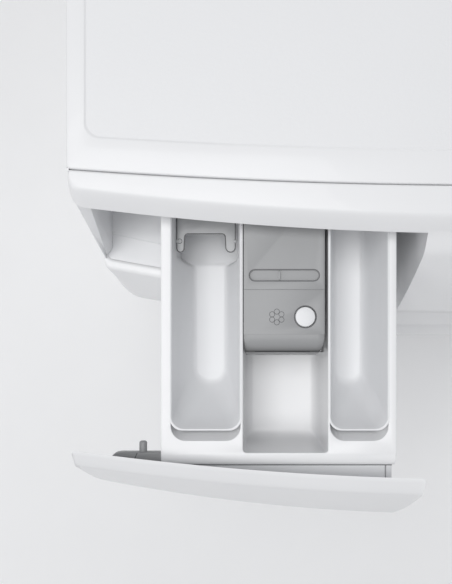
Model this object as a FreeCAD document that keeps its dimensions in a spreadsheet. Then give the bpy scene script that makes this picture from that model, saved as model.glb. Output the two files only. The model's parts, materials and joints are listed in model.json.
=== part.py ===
import FreeCAD, Part
import math
import os
import Sketcher

# Front load washing machine, 27 in wide, detergent drawer pulled out.
# Frame: origin on the floor under the middle of the whole machine, +Z up,
# -Y is the front, +X is the right side seen from the front. Millimetres.

VECTOR = FreeCAD.Vector
document = FreeCAD.newDocument("front_load_washer")
sheet = document.addObject("Spreadsheet::Sheet", "dims")

DRIVING = (
    # cabinet
    ("cabinet_wide", 686.0, "width over the side panels (27 in)"),
    ("cabinet_tall", 965.0, "height of the worktop (38 in)"),
    ("foot_gap", 25.0, "floor to the underside of the base"),
    ("skin", 1.5, "steel sheet thickness"),
    ("rear_y", 455.0, "outer face of the rear panel"),
    ("panel_front_y", -255.0, "front panel at its furthest forward point"),
    ("panel_bow", 1750.0, "plan radius of the front panel"),
    ("panel_corner", 48.0, "plan radius of the front panel's corners"),
    ("side_front_y", -165.0, "front edge of the side panels"),
    ("toe_top", 205.0, "top of the lower service panel"),
    ("console_low", 765.0, "underside of the control console"),
    # worktop
    ("worktop_thick", 20.0, "worktop thickness"),
    ("seam_y", -181.5, "worktop front edge at the centre"),
    ("seam_bow", 4650.0, "plan radius of the worktop front edge"),
    ("seam_gap", 0.8, "open joint between worktop and console"),
    ("field_inset", 15.0, "worktop edge to the textured field"),
    ("field_front_y", -154.0, "front of the textured field at the centre"),
    ("field_deep", 0.9, "depth of the textured field"),
    # console levels: distance below the worktop, front point and plan radius
    ("crease_y", -206.0, "soft crease on the console top"),
    ("crease_bow", 2300.0, "plan radius of the crease"),
    ("nose_drop", 13.0, "nose edge below the worktop"),
    ("nose_y", -218.8, "nose edge"),
    ("nose_bow", 2225.0, "plan radius of the nose"),
    ("fascia_top_drop", 24.0, "top of the sloping fascia"),
    ("fascia_top_y", -233.7, "top of the fascia"),
    ("fascia_top_bow", 2312.0, "plan radius of the fascia's top"),
    ("fascia_low_drop", 115.0, "foot of the sloping fascia"),
    ("fascia_low_y", -278.0, "foot of the fascia"),
    ("fascia_low_bow", 1795.0, "plan radius of the fascia's foot"),
    ("ledge_drop", 118.0, "ledge behind the drawer front, and the floor of the drawer bay"),
    ("ledge_y", -266.4, "front of the ledge"),
    ("ledge_bow", 1780.0, "plan radius of the ledge"),
    ("chin_drop", 185.0, "widest level of the chin"),
    ("chin_y", -288.5, "front of the chin"),
    ("chin_bow", 1700.0, "plan radius of the chin"),
    ("console_wall", 3.0, "console wall thickness"),
    ("console_back_y", -150.0, "back wall of the drawer bay"),
    # detergent drawer, shown pulled out
    ("travel", 199.0, "drawer travel"),
    ("box_left", -273.0, "drawer box left side"),
    ("box_right", -74.9, "drawer box right side"),
    ("box_rim_drop", 30.0, "drawer box rim below the worktop"),
    ("box_tall", 78.0, "drawer box height"),
    ("box_front_y", -410.2, "drawer box front, pulled out"),
    ("box_long", 262.0, "drawer box length"),
    ("plate_back_y", -417.0, "drawer front, back face at the top"),
    ("plate_back_bow", 2530.0, "plan radius of the back face at the top"),
    ("plate_ridge_drop", 14.0, "top of the drawer front's back face"),
    ("plate_right", -55.0, "right end of the drawer front"),
    ("plate_low_thick", 11.0, "thickness of the lower edge"),
    ("plate_gap", 1.0, "gap behind the closed drawer front"),
    # washing group, on a horizontal axis
    ("drum_axis_z", 505.0, "height of the drum axis"),
    ("drum_radius", 268.0, "drum inside radius"),
    ("drum_front_y", -128.0, "front of the drum"),
    ("drum_back_y", 292.0, "back of the drum"),
    ("drum_mouth", 198.0, "radius of the drum mouth"),
    ("tub_radius", 300.0, "tub inside radius"),
    ("tub_front_y", -150.0, "front of the tub"),
    ("tub_back_y", 330.0, "back of the tub"),
    ("tub_wall", 4.0, "tub wall thickness"),
    ("shaft_radius", 15.0, "drum shaft radius"),
    # door
    ("door_seat_y", -230.0, "flat seat of the door in the front panel"),
    ("door_radius", 242.0, "outside radius of the door"),
    ("door_front_y", -300.0, "front of the door ring"),
    ("door_back_y", -233.0, "back of the door"),
    ("window_radius", 165.0, "radius of the window"),
    ("hinge_x", -252.0, "door hinge axis"),
    ("hinge_y", -266.0, "door hinge axis"),
    ("port_radius", 180.0, "loading port in the front panel"),
    # controls
    ("knob_x", 30.0, "centre of the cycle knob"),
    ("knob_radius", 31.0, "radius of the cycle knob"),
    ("control_drop", 66.0, "controls below the worktop"),
    ("option_step", 31.0, "option keys below the other controls"),
    ("power_x", 88.0, "power key across"),
    ("start_x", 296.0, "start key across"),
    ("display_x", 190.0, "middle of the display and of the option keys"),
    ("option_pitch", 52.0, "spacing of the option keys"),
    # drawer inserts
    ("well_back_y", -168.0, "rear of the three compartments"),
    ("well_deep", 66.0, "depth of the compartments"),
    ("cup_front_y", -379.5, "front lip of the two inserts"),
    ("flap_y", -218.4, "flap axis, distance from the middle"),
    ("flap_z", 917.0, "height of the flap axis"),
    # services
    ("spring_x", 215.0, "hanging springs across"),
    ("damper_x", 236.0, "dampers across"),
    ("inlet_x", 250.0, "middle of the two water inlets"),
    ("inlet_z", 895.0, "height of the water inlets"),
    ("inlet_pitch", 44.0, "spacing of the water inlets"),
    ("outlet_x", -265.0, "drain outlet across"),
    ("outlet_z", 850.0, "height of the drain outlet"),
    ("gland_x", -205.0, "power lead gland across"),
    ("gland_z", 880.0, "height of the power lead gland"),
    ("filter_x", -225.0, "drain filter across"),
    ("filter_z", 110.0, "height of the drain filter"),
)


class Size:
    """A length in mm together with the sheet expression that gives it."""

    def __init__(self, number, text):
        self.number = number
        self.text = text

    def combined(self, other, sign, number):
        return Size(number, f"({self.text} {sign} {size(other).text})")

    def __add__(self, other):
        return self.combined(other, "+", self.number + size(other).number)

    def __sub__(self, other):
        return self.combined(other, "-", self.number - size(other).number)

    def __mul__(self, other):
        return self.combined(other, "*", self.number * size(other).number)

    def __truediv__(self, other):
        return self.combined(other, "/", self.number / size(other).number)

    def __radd__(self, other):
        return size(other) + self

    def __rsub__(self, other):
        return size(other) - self

    def __rmul__(self, other):
        return size(other) * self

    def __neg__(self):
        return Size(-self.number, f"(0 - {self.text})")

    def __float__(self):
        return self.number


def size(value):
    """Any number as a Size."""
    if isinstance(value, Size):
        return value
    return Size(float(value), f"({float(value)})")


def fill_sheet():
    """Write the driving dimensions and return them by name."""
    named = {}
    for row, (alias, number, meaning) in enumerate(DRIVING, start=1):
        sheet.set(f"A{row}", meaning)
        sheet.set(f"B{row}", str(number))
        sheet.setAlias(f"B{row}", alias)
        named[alias] = Size(number, f"dims.{alias}")
    document.recompute()
    return named


class Dimensions:
    """The driving dimensions as attributes."""

    def __init__(self, named):
        self.__dict__.update(named)


d = Dimensions(fill_sheet())
half_wide = d.cabinet_wide / 2
nodes = {}


def level(drop):
    """Height of a level given as a distance below the worktop."""
    return d.cabinet_tall - drop


def node(label, made):
    """Register a finished sub-part."""
    made.Label = label
    nodes[label] = made
    return made


# ---- shapes bound to the sheet ---------------------------------------------

def bind(made, prop, value):
    made.setExpression(prop, size(value).text)


def place(made, position):
    for axis, value in zip("xyz", position):
        bind(made, f"Placement.Base.{axis}", value)


def box(low, high):
    """A block between two corners."""
    made = document.addObject("Part::Box", "block")
    for prop, start, end in zip(("Length", "Width", "Height"), low, high):
        bind(made, prop, size(end) - start)
    place(made, low)
    return made


TURN = {
    "Z": FreeCAD.Rotation(),
    "Y": FreeCAD.Rotation(VECTOR(1, 0, 0), -90),
    "X": FreeCAD.Rotation(VECTOR(0, 1, 0), 90),
}


def cylinder(start, radius, length, axis="Z"):
    made = document.addObject("Part::Cylinder", "round")
    made.Placement = FreeCAD.Placement(VECTOR(), TURN[axis])
    bind(made, "Radius", radius)
    bind(made, "Height", length)
    place(made, start)
    return made


def cone(start, radius, end_radius, length, axis="Z"):
    made = document.addObject("Part::Cone", "taper")
    made.Placement = FreeCAD.Placement(VECTOR(), TURN[axis])
    bind(made, "Radius1", radius)
    bind(made, "Radius2", end_radius)
    bind(made, "Height", length)
    place(made, start)
    return made


def fuse(*pieces):
    made = document.addObject("Part::MultiFuse", "joined")
    made.Shapes = list(pieces)
    return made


def group(*pieces):
    """Separate solids that share one node."""
    made = document.addObject("Part::Compound", "set")
    made.Links = list(pieces)
    return made


def cut(base, *tools):
    made = document.addObject("Part::Cut", "trimmed")
    made.Base = base
    made.Tool = tools[0] if len(tools) == 1 else fuse(*tools)
    return made


def tube(start, outer, inner, length, axis="Z"):
    """A straight pipe with clean ends."""
    return cut(cylinder(start, outer, length, axis), cylinder(start, inner, length, axis))


def free_shape(shape):
    """A bowed or swept shape that no primitive or sketch gives."""
    made = document.addObject("Part::Feature", "shell")
    made.Shape = shape
    return made


def sketch_polygon(body, plane_role, outline):
    """A closed polygon, each corner bound to the sheet."""
    sketch = body.newObject("Sketcher::SketchObject", "outline")
    plane = [item for item in body.Origin.OriginFeatures if item.Role == plane_role][0]
    sketch.AttachmentSupport = [(plane, "")]
    sketch.MapMode = "FlatFace"
    corners = [(size(across), size(along)) for across, along in outline]
    count = len(corners)
    for index in range(count):
        start, end = corners[index], corners[(index + 1) % count]
        sketch.addGeometry(Part.LineSegment(VECTOR(start[0].number, start[1].number, 0),
                                            VECTOR(end[0].number, end[1].number, 0)), False)
    for index in range(count):
        sketch.addConstraint(Sketcher.Constraint("Coincident", index, 2, (index + 1) % count, 1))
    for index, (across, along) in enumerate(corners):
        for kind, value, axis_line in (("DistanceX", across, -2), ("DistanceY", along, -1)):
            if abs(value.number) < 1e-9:
                sketch.addConstraint(Sketcher.Constraint("PointOnObject", index, 1, axis_line))
                continue
            number = sketch.addConstraint(
                Sketcher.Constraint(kind, -1, 1, index, 1, value.number))
            sketch.setExpression(f"Constraints[{number}]", value.text)
    return sketch


def revolved(outline, position=(0, 0, 0), plane="XY_Plane"):
    """A turned piece: (radius, distance along the axis) corners.

    XY_Plane turns about the Y axis, XZ_Plane about the Z axis.
    """
    body = document.addObject("PartDesign::Body", "turned")
    sketch = sketch_polygon(body, plane, outline)
    turned = body.newObject("PartDesign::Revolution", "turn")
    turned.Profile = sketch
    turned.ReferenceAxis = (sketch, ["V_Axis"])
    turned.Angle = 360
    sketch.Visibility = False
    place(body, position)
    return body


# ---- bowed plan outlines ---------------------------------------------------

def arc_y(front, bow, across):
    """Front line of a bowed outline at a distance from the centre."""
    return front + bow - math.sqrt(bow * bow - across * across)


def bowed_face(height, front, bow, half, corner, back):
    """A plan face: bowed front, rounded front corners, straight sides and back."""
    centre = VECTOR(0, front + bow, height)
    inset = half - corner
    reach = bow - corner
    corner_y = centre.y - math.sqrt(reach * reach - inset * inset)
    slope = math.atan2(inset, centre.y - corner_y)
    touch = VECTOR(math.sin(slope) * bow, centre.y - math.cos(slope) * bow, height)
    side = VECTOR(half, corner_y, height)
    middle_turn = (slope + math.pi / 2) / 2
    middle = VECTOR(inset + corner * math.sin(middle_turn),
                    corner_y - corner * math.cos(middle_turn), height)

    def mirror(point):
        return VECTOR(-point.x, point.y, point.z)

    edges = [
        Part.Arc(mirror(touch), VECTOR(0, front, height), touch).toShape(),
        Part.Arc(touch, middle, side).toShape(),
        Part.makeLine(side, VECTOR(half, back, height)),
        Part.makeLine(VECTOR(half, back, height), VECTOR(-half, back, height)),
        Part.makeLine(VECTOR(-half, back, height), mirror(side)),
        Part.Arc(mirror(side), mirror(middle), mirror(touch)).toShape(),
    ]
    return Part.Wire(edges)


def bowed_block(low, high, front, bow, half, corner, back):
    wire = bowed_face(low, front, bow, half, corner, back)
    return Part.Face(wire).extrude(VECTOR(0, 0, high - low))


def bowed_loft(levels):
    """A solid through bowed outlines, from the lowest up."""
    return Part.makeLoft([bowed_face(*values) for values in levels], True, True)


def block_shape(low, high):
    return Part.makeBox(*(end - start for start, end in zip(low, high)), VECTOR(*low))


def arc_edge(front, bow, left, right, height):
    middle = (left + right) / 2
    points = [VECTOR(x, arc_y(front, bow, x), height) for x in (left, middle, right)]
    return Part.Arc(*points).toShape()


def band_wire(height, left, right, front, front_bow, back, back_bow):
    """A plan outline between two bowed lines."""
    near = arc_edge(front, front_bow, left, right, height)
    far = arc_edge(back, back_bow, right, left, height)
    start, end = near.Vertexes[0].Point, near.Vertexes[-1].Point
    far_start, far_end = far.Vertexes[0].Point, far.Vertexes[-1].Point
    return Part.Wire([near, Part.makeLine(end, far_start), far, Part.makeLine(far_end, start)])


# ---- cabinet ---------------------------------------------------------------

def make_base_frame():
    """Pressed steel pan that the feet, dampers and panels are fixed to."""
    low, high = d.foot_gap, d.foot_gap + 45
    inner = d.foot_gap + 3
    wall = 2.0
    left, right = -half_wide + d.skin, half_wide - d.skin
    front, back = d.side_front_y, d.rear_y - d.skin
    pan = cut(box((left, front, low), (right, back, high)),
              box((left + wall, front + wall, inner), (right - wall, back - wall, high)))
    middle_hole = box((-150, -20, low), (150, 300, inner))
    rail = box((left + wall, 20, inner), (-170, 50, inner + 20))
    rail_right = box((170, 20, inner), (right - wall, 50, inner + 20))
    return node("base_frame", fuse(cut(pan, middle_hole), rail, rail_right))


def make_side_panel(label, outer_x, inward):
    """Folded sheet with a top, bottom and rear flange."""
    low, high = d.foot_gap, d.cabinet_tall - d.worktop_thick
    flange = 12.0
    skin = d.skin * inward
    sheet_x = sorted((outer_x, outer_x + skin), key=float)
    flange_x = sorted((outer_x + skin, outer_x + skin + flange * inward), key=float)
    back = d.rear_y - d.skin
    skin_panel = box((sheet_x[0], d.side_front_y, low + 46), (sheet_x[1], back, high))
    lower = box((sheet_x[0], d.side_front_y, low), (sheet_x[1], back, low + 46))
    top = box((flange_x[0], d.side_front_y, high - d.skin), (flange_x[1], back, high))
    rear = box((flange_x[0], back - d.skin, low + 50), (flange_x[1], back, high))
    console_room = box((-half_wide, d.side_front_y, d.console_low - 1),
                       (half_wide, d.console_back_y + 0.5, high))
    return node(label, cut(fuse(skin_panel, lower, top, rear), console_room))


def make_rear_panel():
    back = d.rear_y
    front = d.rear_y - d.skin
    low, high = d.foot_gap, d.cabinet_tall - d.worktop_thick
    plate = box((-half_wide, front, low), (half_wide, back, high))
    access = box((-205, front, 300), (205, back, 720))
    valve_hole = box((d.inlet_x - 48, front, d.inlet_z - 23), (d.inlet_x + 48, back, d.inlet_z + 23))
    drain_hole = cylinder((d.outlet_x, front, d.outlet_z), 17.5, d.skin, "Y")
    gland_hole = cylinder((d.gland_x, front, d.gland_z), 11, d.skin, "Y")
    foot_cut = box((-250, front, low), (250, back, low + 20))
    return node("rear_panel", cut(plate, access, valve_hole, drain_hole, gland_hole, foot_cut))


def make_rear_cover():
    """Dished cover over the drive, screwed over the access opening."""
    back = d.rear_y
    flange = box((-222, back, 282), (222, back + 1.2, 738))
    dish = box((-195, back, 310), (195, back + 9, 710))
    dish_hollow = box((-193.5, back, 311.5), (193.5, back + 7.5, 708.5))
    slots = [box((-120, back, height), (120, back + 10, height + 6))
             for height in (640, 656, 672)]
    return node("rear_access_cover", cut(fuse(flange, dish), dish_hollow, *slots))


def panel_shell(low, high, thick):
    """Bowed sheet with side returns, between two heights."""
    front, bow = d.panel_front_y.number, d.panel_bow.number
    half, corner = half_wide.number, d.panel_corner.number
    back = d.side_front_y.number - 1.0
    outer = bowed_block(low, high, front, bow, half, corner, back)
    inner = bowed_block(low, high, front + thick, bow - thick, half - thick,
                        corner - thick, back)
    return outer, outer.cut(inner)


def make_front_panel():
    """Bowed steel front with a dished flat seat round the loading port."""
    low, high = d.toe_top.number + 1.0, d.console_low.number - 1.0
    thick = d.skin.number
    outer, shell = panel_shell(low, high, thick)
    axis, centre_z = VECTOR(0, 1, 0), d.drum_axis_z.number
    seat = d.door_seat_y.number
    dish = d.door_radius.number + 5.0

    def disc(radius, start, end):
        return Part.makeCylinder(radius, end - start, VECTOR(0, start, centre_z), axis)

    shell = shell.cut(disc(dish - thick, -320, -150))
    wall = disc(dish, -320, seat + thick).cut(disc(dish - thick, -320, seat))
    port = disc(d.port_radius.number, -320, -150)
    lock_slot = block_shape((209, -240, centre_z - 18), (234, -200, centre_z + 18))
    seat_wall = wall.common(outer).cut(port).cut(lock_slot)
    shape = shell.fuse(seat_wall).removeSplitter()
    return node("front_panel", free_shape(shape))


def make_toe_panel():
    """Lower service panel with the opening of the drain filter door."""
    low, high = d.foot_gap.number + 5.0, d.toe_top.number
    _, shell = panel_shell(low, high, 2.2)
    opening = block_shape((-286, -260, 68), (-164, -200, 162))
    return node("toe_panel", free_shape(shell.cut(opening)))


def make_worktop():
    """Lid with a plain border and a slightly sunken textured field."""
    top, low = d.cabinet_tall.number, (d.cabinet_tall - d.worktop_thick).number
    half = half_wide.number
    front, bow = d.seam_y.number, d.seam_bow.number
    back = d.rear_y.number
    plate = bowed_block(low, top, front, bow, half, 2.0, back)
    inset = d.field_inset.number
    field = bowed_block(top - d.field_deep.number, top + 5, d.field_front_y.number, 5000.0,
                        half - inset, 14.0, back - 30)
    hollow = block_shape((-half + 16, -150, low - 5), (half - 16, back - 16, top - 6))
    shape = plate.cut(field).cut(hollow)
    return node("worktop", free_shape(shape))


def plan_levels(rows, offset, back):
    """Bowed outlines from rows of drop, front, plan radius, narrower by and corner radius."""
    half = half_wide.number - offset
    return [(level(drop).number, front + offset, bow - offset, half - narrower,
             corner - offset, back) for drop, front, bow, narrower, corner in rows]


def chin_levels(offset, back):
    """Console below the ledge, swelling forwards to the chin."""
    ledge, chin = d.ledge_y.number, d.chin_y.number
    drop, bow = d.ledge_drop.number, d.ledge_bow.number
    return plan_levels((
        ((d.cabinet_tall - d.console_low).number, chin + 20, 1700.0, 5.0, 36.0),
        (d.chin_drop.number, chin, d.chin_bow.number, 0.0, 30.0),
        (drop + 38, ledge - 15.0, 1730.0, 0.0, 24.0),
        (drop + 4, ledge - 1.6, bow, 0.0, 9.0),
        (drop, ledge, bow, 0.0, 8.0),
    ), offset, back)


def fascia_levels(offset, back, foot):
    """Console above the ledge: the sloping fascia."""
    return plan_levels((
        (foot, d.fascia_low_y.number + 1.0, d.fascia_low_bow.number, 0.0, 24.0),
        (d.fascia_low_drop.number - 1, d.fascia_low_y.number, d.fascia_low_bow.number, 0.0, 24.0),
        (d.fascia_top_drop.number, d.fascia_top_y.number, d.fascia_top_bow.number, 0.0, 24.0),
    ), offset, back)


def make_console():
    """One moulding: nose, sloping fascia, drawer bay, ledge and chin."""
    top = d.cabinet_tall.number
    half = half_wide.number
    back = d.console_back_y.number
    wall = d.console_wall.number
    cap_back = d.seam_y.number - d.seam_gap.number
    worktop_low = top - d.worktop_thick.number
    ledge_drop = d.ledge_drop.number
    body = bowed_loft(chin_levels(0.0, back)).fuse(bowed_loft(fascia_levels(0.0, back, ledge_drop)))
    cap_levels = (
        (top - d.fascia_top_drop.number, d.fascia_top_y.number, d.fascia_top_bow.number,
         half, 24.0, back),
        (top - d.nose_drop.number, d.nose_y.number, d.nose_bow.number, half, 24.0, back),
        (top - 1.2, d.crease_y.number - 1.6, d.crease_bow.number, half - 0.6, 26.0, back),
        (top, d.crease_y.number + 2.0, d.crease_bow.number, half - 1.6, 26.0, back),
    )
    cap = bowed_loft(cap_levels)
    under_worktop = bowed_block(worktop_low - 1, top + 1, cap_back, d.seam_bow.number,
                                half + 5, 2.0, -100.0)
    body = body.fuse(cap).cut(under_worktop)
    open_back = back + 5
    hollow = bowed_loft(chin_levels(wall, open_back)).fuse(
        bowed_loft(fascia_levels(wall, open_back, ledge_drop - wall)))
    bay_right = d.plate_right.number + 3.0
    right_half = block_shape((bay_right + wall, -320, 700), (half - wall, back + 6, top))
    chin_space = block_shape((-half + wall, -320, 700),
                             (bay_right + wall, back + 6, top - ledge_drop - 5.0))
    body = body.cut(hollow.common(right_half)).cut(hollow.common(chin_space))
    bay_floor = level(d.ledge_drop).number
    bay = bowed_block(bay_floor, top - d.fascia_top_drop.number + 2, -300.0, 1700.0,
                      half - 8.0, 10.0, back - wall)
    bay = bay.common(block_shape((-half, -330, bay_floor), (bay_right, back, top)))
    mouth = block_shape((d.box_left.number - 3, back - 10, bay_floor + 5),
                        (d.box_right.number + 3, back + 10, top - 26))
    return body.cut(bay).cut(mouth).cut(closed_plate_room(-400.0, bay_right))


def plate_levels(shift, gap, reach, left, right):
    """Outlines of the drawer front: lower edge, upper front edge, top of the back face."""
    low = level(d.fascia_low_drop).number - gap * 2
    front_top = level(d.fascia_top_drop).number
    ridge = level(d.plate_ridge_drop).number + gap
    low_y = (d.fascia_low_y - d.travel).number + shift
    top_y = (d.fascia_top_y - d.travel).number + shift
    back = d.plate_back_y.number + shift + gap
    back_bow = d.plate_back_bow.number
    low_bow = d.fascia_low_bow.number
    low_back = low_y + d.plate_low_thick.number + gap
    return (
        (low, left, right, low_y - reach, low_bow, low_back, low_bow),
        (front_top, left, right, top_y - reach, d.fascia_top_bow.number, back, back_bow),
        (ridge, left, right, back - 1.0 - reach, back_bow, back, back_bow),
    )


def plate_shape(levels):
    return Part.makeLoft([band_wire(*values) for values in levels], True, True)


def closed_plate_room(left, right):
    """The room that the closed drawer front needs, open to the front."""
    gap = d.plate_gap.number
    return plate_shape(plate_levels(d.travel.number, gap, 90.0, left, right))


def add_control_holes(body):
    """Openings for the knob shaft, the round keys and the display."""
    drop = d.control_drop.number
    for across, radius in control_holes():
        point = fascia_point(across, drop)
        direction = fascia_turn(across).multVec(VECTOR(0, 0, 1))
        start = point - direction * CUTTER_REACH
        body = body.cut(Part.makeCylinder(radius, 2 * CUTTER_REACH, start, direction))
    return body.cut(through_fascia(120.0, 34.0, d.display_x.number, drop))


CUTTER_REACH = 20.0


def through_fascia(wide, tall, across, drop):
    """A rectangular cutter that passes through the fascia."""
    cutter = Part.makeBox(wide, tall, 2 * CUTTER_REACH,
                          VECTOR(-wide / 2, -tall / 2, -CUTTER_REACH))
    cutter.Placement = FreeCAD.Placement(fascia_point(across, drop), fascia_turn(across))
    return cutter


def option_drop():
    """Option keys below the worktop."""
    return (d.control_drop + d.option_step).number


def fascia_slope():
    """Angle of the fascia from the vertical, in degrees."""
    rise = (d.fascia_low_drop - d.fascia_top_drop).number
    run = (d.fascia_top_y - d.fascia_low_y).number
    return math.degrees(math.atan2(run, rise))


def fascia_turn(across):
    """Turns +Z of a control to the fascia's outward normal."""
    aside = math.degrees(math.asin(across / d.fascia_top_bow.number))
    tilt = FreeCAD.Rotation(VECTOR(1, 0, 0), 90.0 - fascia_slope())
    return FreeCAD.Rotation(VECTOR(0, 0, 1), aside).multiply(tilt)


def fascia_point(across, drop):
    """A point on the fascia."""
    share = (drop - d.fascia_top_drop.number) / (d.fascia_low_drop - d.fascia_top_drop).number
    high = arc_y(d.fascia_top_y.number, d.fascia_top_bow.number, across)
    low = arc_y(d.fascia_low_y.number, d.fascia_low_bow.number, across)
    return VECTOR(across, high + (low - high) * share, level(drop).number)


def option_places():
    """Node name and position across of each option key."""
    middle, pitch = d.display_x.number, d.option_pitch.number
    return (("option_button_left", middle - pitch), ("option_button_middle", middle),
            ("option_button_right", middle + pitch))


KEY_RADIUS = 12.0
KEY_CLEARANCE = 0.5
KNOB_SHAFT_HOLE = 6.5


def control_holes():
    """Position across and radius of each round opening in the fascia."""
    key_hole = KEY_RADIUS + KEY_CLEARANCE
    return ((d.knob_x.number, KNOB_SHAFT_HOLE), (d.power_x.number, key_hole),
            (d.start_x.number, key_hole))


def make_finished_console():
    body = add_control_holes(make_console())
    for _, across in option_places():
        body = body.cut(through_fascia(25.0, 9.0, across, option_drop()))
    return node("console", free_shape(body))


def make_top_braces():
    """Cross rails that carry the springs, the housing and the worktop."""
    high = d.cabinet_tall - d.worktop_thick - 0.5
    left, right = -half_wide + 16, half_wide - 16
    depth = 22
    rails = []
    for start in (-146, 110, 396):
        rail = cut(box((left, start, high - depth), (right, start + 40, high)),
                   box((left, start + 2, high - depth), (right, start + 38, high - 2)))
        rails.append(rail)
    housing_room = box((d.box_left - 8, -150, high - 30), (d.box_right + 8, -100, high + 1))
    rails[0] = cut(rails[0], housing_room)
    return node("top_braces", group(*rails))


def foot_places():
    for across in (-290.0, 290.0):
        for along in (-130.0, 415.0):
            yield across, along


def make_levelling_feet():
    """Rubber-soled feet on threaded stems."""
    feet = []
    for across, along in foot_places():
        sole = cone((across, along, 0), 22, 19, 12)
        stem = cylinder((across, along, 12), 5, d.foot_gap - 12)
        feet.append(fuse(sole, stem))
    return node("levelling_feet", group(*feet))


def make_panel_screws():
    """Screws of the rear cover and the worktop's rear edge."""
    back = d.rear_y
    screws = []
    for across in (-212.0, 0.0, 212.0):
        for height in (293.0, 727.0):
            screws.append(cylinder((across, back + 1.2, height), 4, 2.2, "Y"))
    for across in (-320.0, -110.0, 110.0, 320.0):
        screws.append(cylinder((across, back, 930.0), 4, 2.2, "Y"))
    for across in (-330.0, 330.0):
        for height in (120.0, 420.0, 780.0):
            screws.append(cylinder((across, back, height), 4, 2.2, "Y"))
    return node("panel_screws", group(*screws))


# ---- washing group ---------------------------------------------------------

def on_axis(outline):
    return revolved(outline, (0, 0, d.drum_axis_z))


def make_tub():
    """Two mouldings bolted together behind the middle."""
    wall, split = d.tub_wall, 120.0
    outer = d.tub_radius + wall
    front = d.tub_front_y
    mouth = d.drum_mouth + 8
    neck = front - 22
    node("tub_front", on_axis((
        (mouth, neck), (mouth + 6, neck), (mouth + 6, front), (outer, front),
        (outer, split - 0.2), (d.tub_radius, split - 0.2), (d.tub_radius, front + wall),
        (mouth, front + wall))))
    back = d.tub_back_y
    hub = d.shaft_radius + 22
    node("tub_rear", on_axis((
        (outer, split), (outer, back), (hub, back), (hub, back + 22), (hub - 5, back + 22),
        (hub - 5, back - wall), (d.tub_radius, back - wall), (d.tub_radius, split))))


def make_counterweights():
    """Concrete blocks on the top and on the front of the tub."""
    centre = d.drum_axis_z
    outer = d.tub_radius + d.tub_wall
    front = d.tub_front_y
    slab = cut(cylinder((0, front - 45, centre), outer - 10, 44, "Y"),
               cylinder((0, front - 45, centre), 216, 44, "Y"),
               box((-320, front - 50, centre - 130), (320, front, centre + 150)))
    node("front_counterweight", slab)
    block = cut(box((-58, 20, 812), (150, 190, 855)),
                cylinder((0, 0, centre), outer + 1, 400, "Y"))
    node("upper_counterweight", block)


def make_drum():
    """Perforated steel basket with a rolled mouth and a pressed back."""
    outer, inner = d.drum_radius + 1.5, d.drum_radius
    front, back = d.drum_front_y, d.drum_back_y
    mouth = d.drum_mouth
    node("drum_shell", on_axis((
        (mouth, front), (inner - 18, front), (outer, front + 16), (outer, back), (12, back),
        (12, back - 1.5), (inner, back - 1.5), (inner, front + 17), (inner - 18.5, front + 1.5),
        (mouth + 1.5, front + 1.5), (mouth + 1.5, front + 7), (mouth, front + 7))))
    lifters = []
    for turn in range(3):
        profile = Part.makePolygon([
            VECTOR(-34, front.number + 30, -inner.number + 1.2),
            VECTOR(34, front.number + 30, -inner.number + 1.2),
            VECTOR(13, front.number + 42, -inner.number + 52),
            VECTOR(-13, front.number + 42, -inner.number + 52),
            VECTOR(-34, front.number + 30, -inner.number + 1.2)])
        length = (back - front).number - 60
        lifter = Part.Face(profile).extrude(VECTOR(0, length, 0))
        lifter = lifter.common(Part.makeCylinder(inner.number - 0.2, 900, VECTOR(0, -400, 0),
                                                 VECTOR(0, 1, 0)))
        lifter.rotate(VECTOR(), VECTOR(0, 1, 0), 60 + 120 * turn)
        lifter.translate(VECTOR(0, 0, d.drum_axis_z.number))
        lifters.append(lifter)
    node("drum_lifters", free_shape(Part.makeCompound(lifters)))


def make_drive():
    """Spider, shaft, bearings, stator and rotor behind the drum."""
    centre = d.drum_axis_z
    back = d.drum_back_y
    shaft = d.shaft_radius
    arms = [cylinder((0, back + 1, centre), 42, 26, "Y")]
    start, reach = back.number + 1, d.drum_radius.number - 6
    for turn in range(3):
        arm = block_shape((-16, start, 30), (16, start + 14, reach))
        arm.rotate(VECTOR(), VECTOR(0, 1, 0), 120 * turn)
        arm.translate(VECTOR(0, 0, centre.number))
        arms.append(free_shape(arm))
    node("drum_spider", cut(fuse(*arms), cylinder((0, back + 1, centre), shaft, 26, "Y")))
    node("drum_shaft", cylinder((0, back + 2, centre), shaft, 108, "Y"))
    rim = d.tub_back_y
    node("shaft_bearings", tube((0, rim + 4, centre), shaft + 16.8, shaft + 0.05, 15, "Y"))
    stator = tube((0, rim + 26, centre), 118, 62, 24, "Y")
    node("motor_stator", stator)
    rotor = revolved((
        (shaft + 0.05, rim + 56), (135, rim + 56), (135, rim + 28), (122, rim + 28),
        (122, rim + 53), (shaft + 0.05, rim + 53)), (0, 0, centre))
    node("motor_rotor", rotor)


def make_gasket():
    """Rubber bellows from the loading port to the tub mouth."""
    seat = d.door_seat_y
    port = d.port_radius
    neck = d.tub_front_y - 22
    mouth = d.drum_mouth + 8
    return node("door_gasket", on_axis((
        (port - 9, seat - 0.8), (port - 0.4, seat - 0.8), (port - 0.4, seat + 14),
        (port + 16, seat + 22), (port + 16, seat + 34), (mouth - 0.5, neck + 2),
        (mouth - 0.5, neck + 18), (mouth - 9, neck + 18), (port + 9, neck - 6),
        (port + 9, seat + 26), (port - 9, seat + 17))))


def make_suspension():
    """Two hanging springs and two friction dampers."""
    centre = d.drum_axis_z
    springs = []
    for side in (-1, 1):
        springs.append(cylinder((d.spring_x * side, 130, centre + 232), 11, 185))
    node("suspension_springs", group(*springs))
    dampers = []
    for side in (-1, 1):
        across, length = d.damper_x * side, 120
        body = cylinder((across, 110, d.foot_gap + 6), 12, length)
        rod = cylinder((across, 110, d.foot_gap + 6 + length), 6, length)
        dampers.append(fuse(body, rod))
    node("shock_dampers", group(*dampers))


# ---- water and electrical pieces -------------------------------------------

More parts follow.
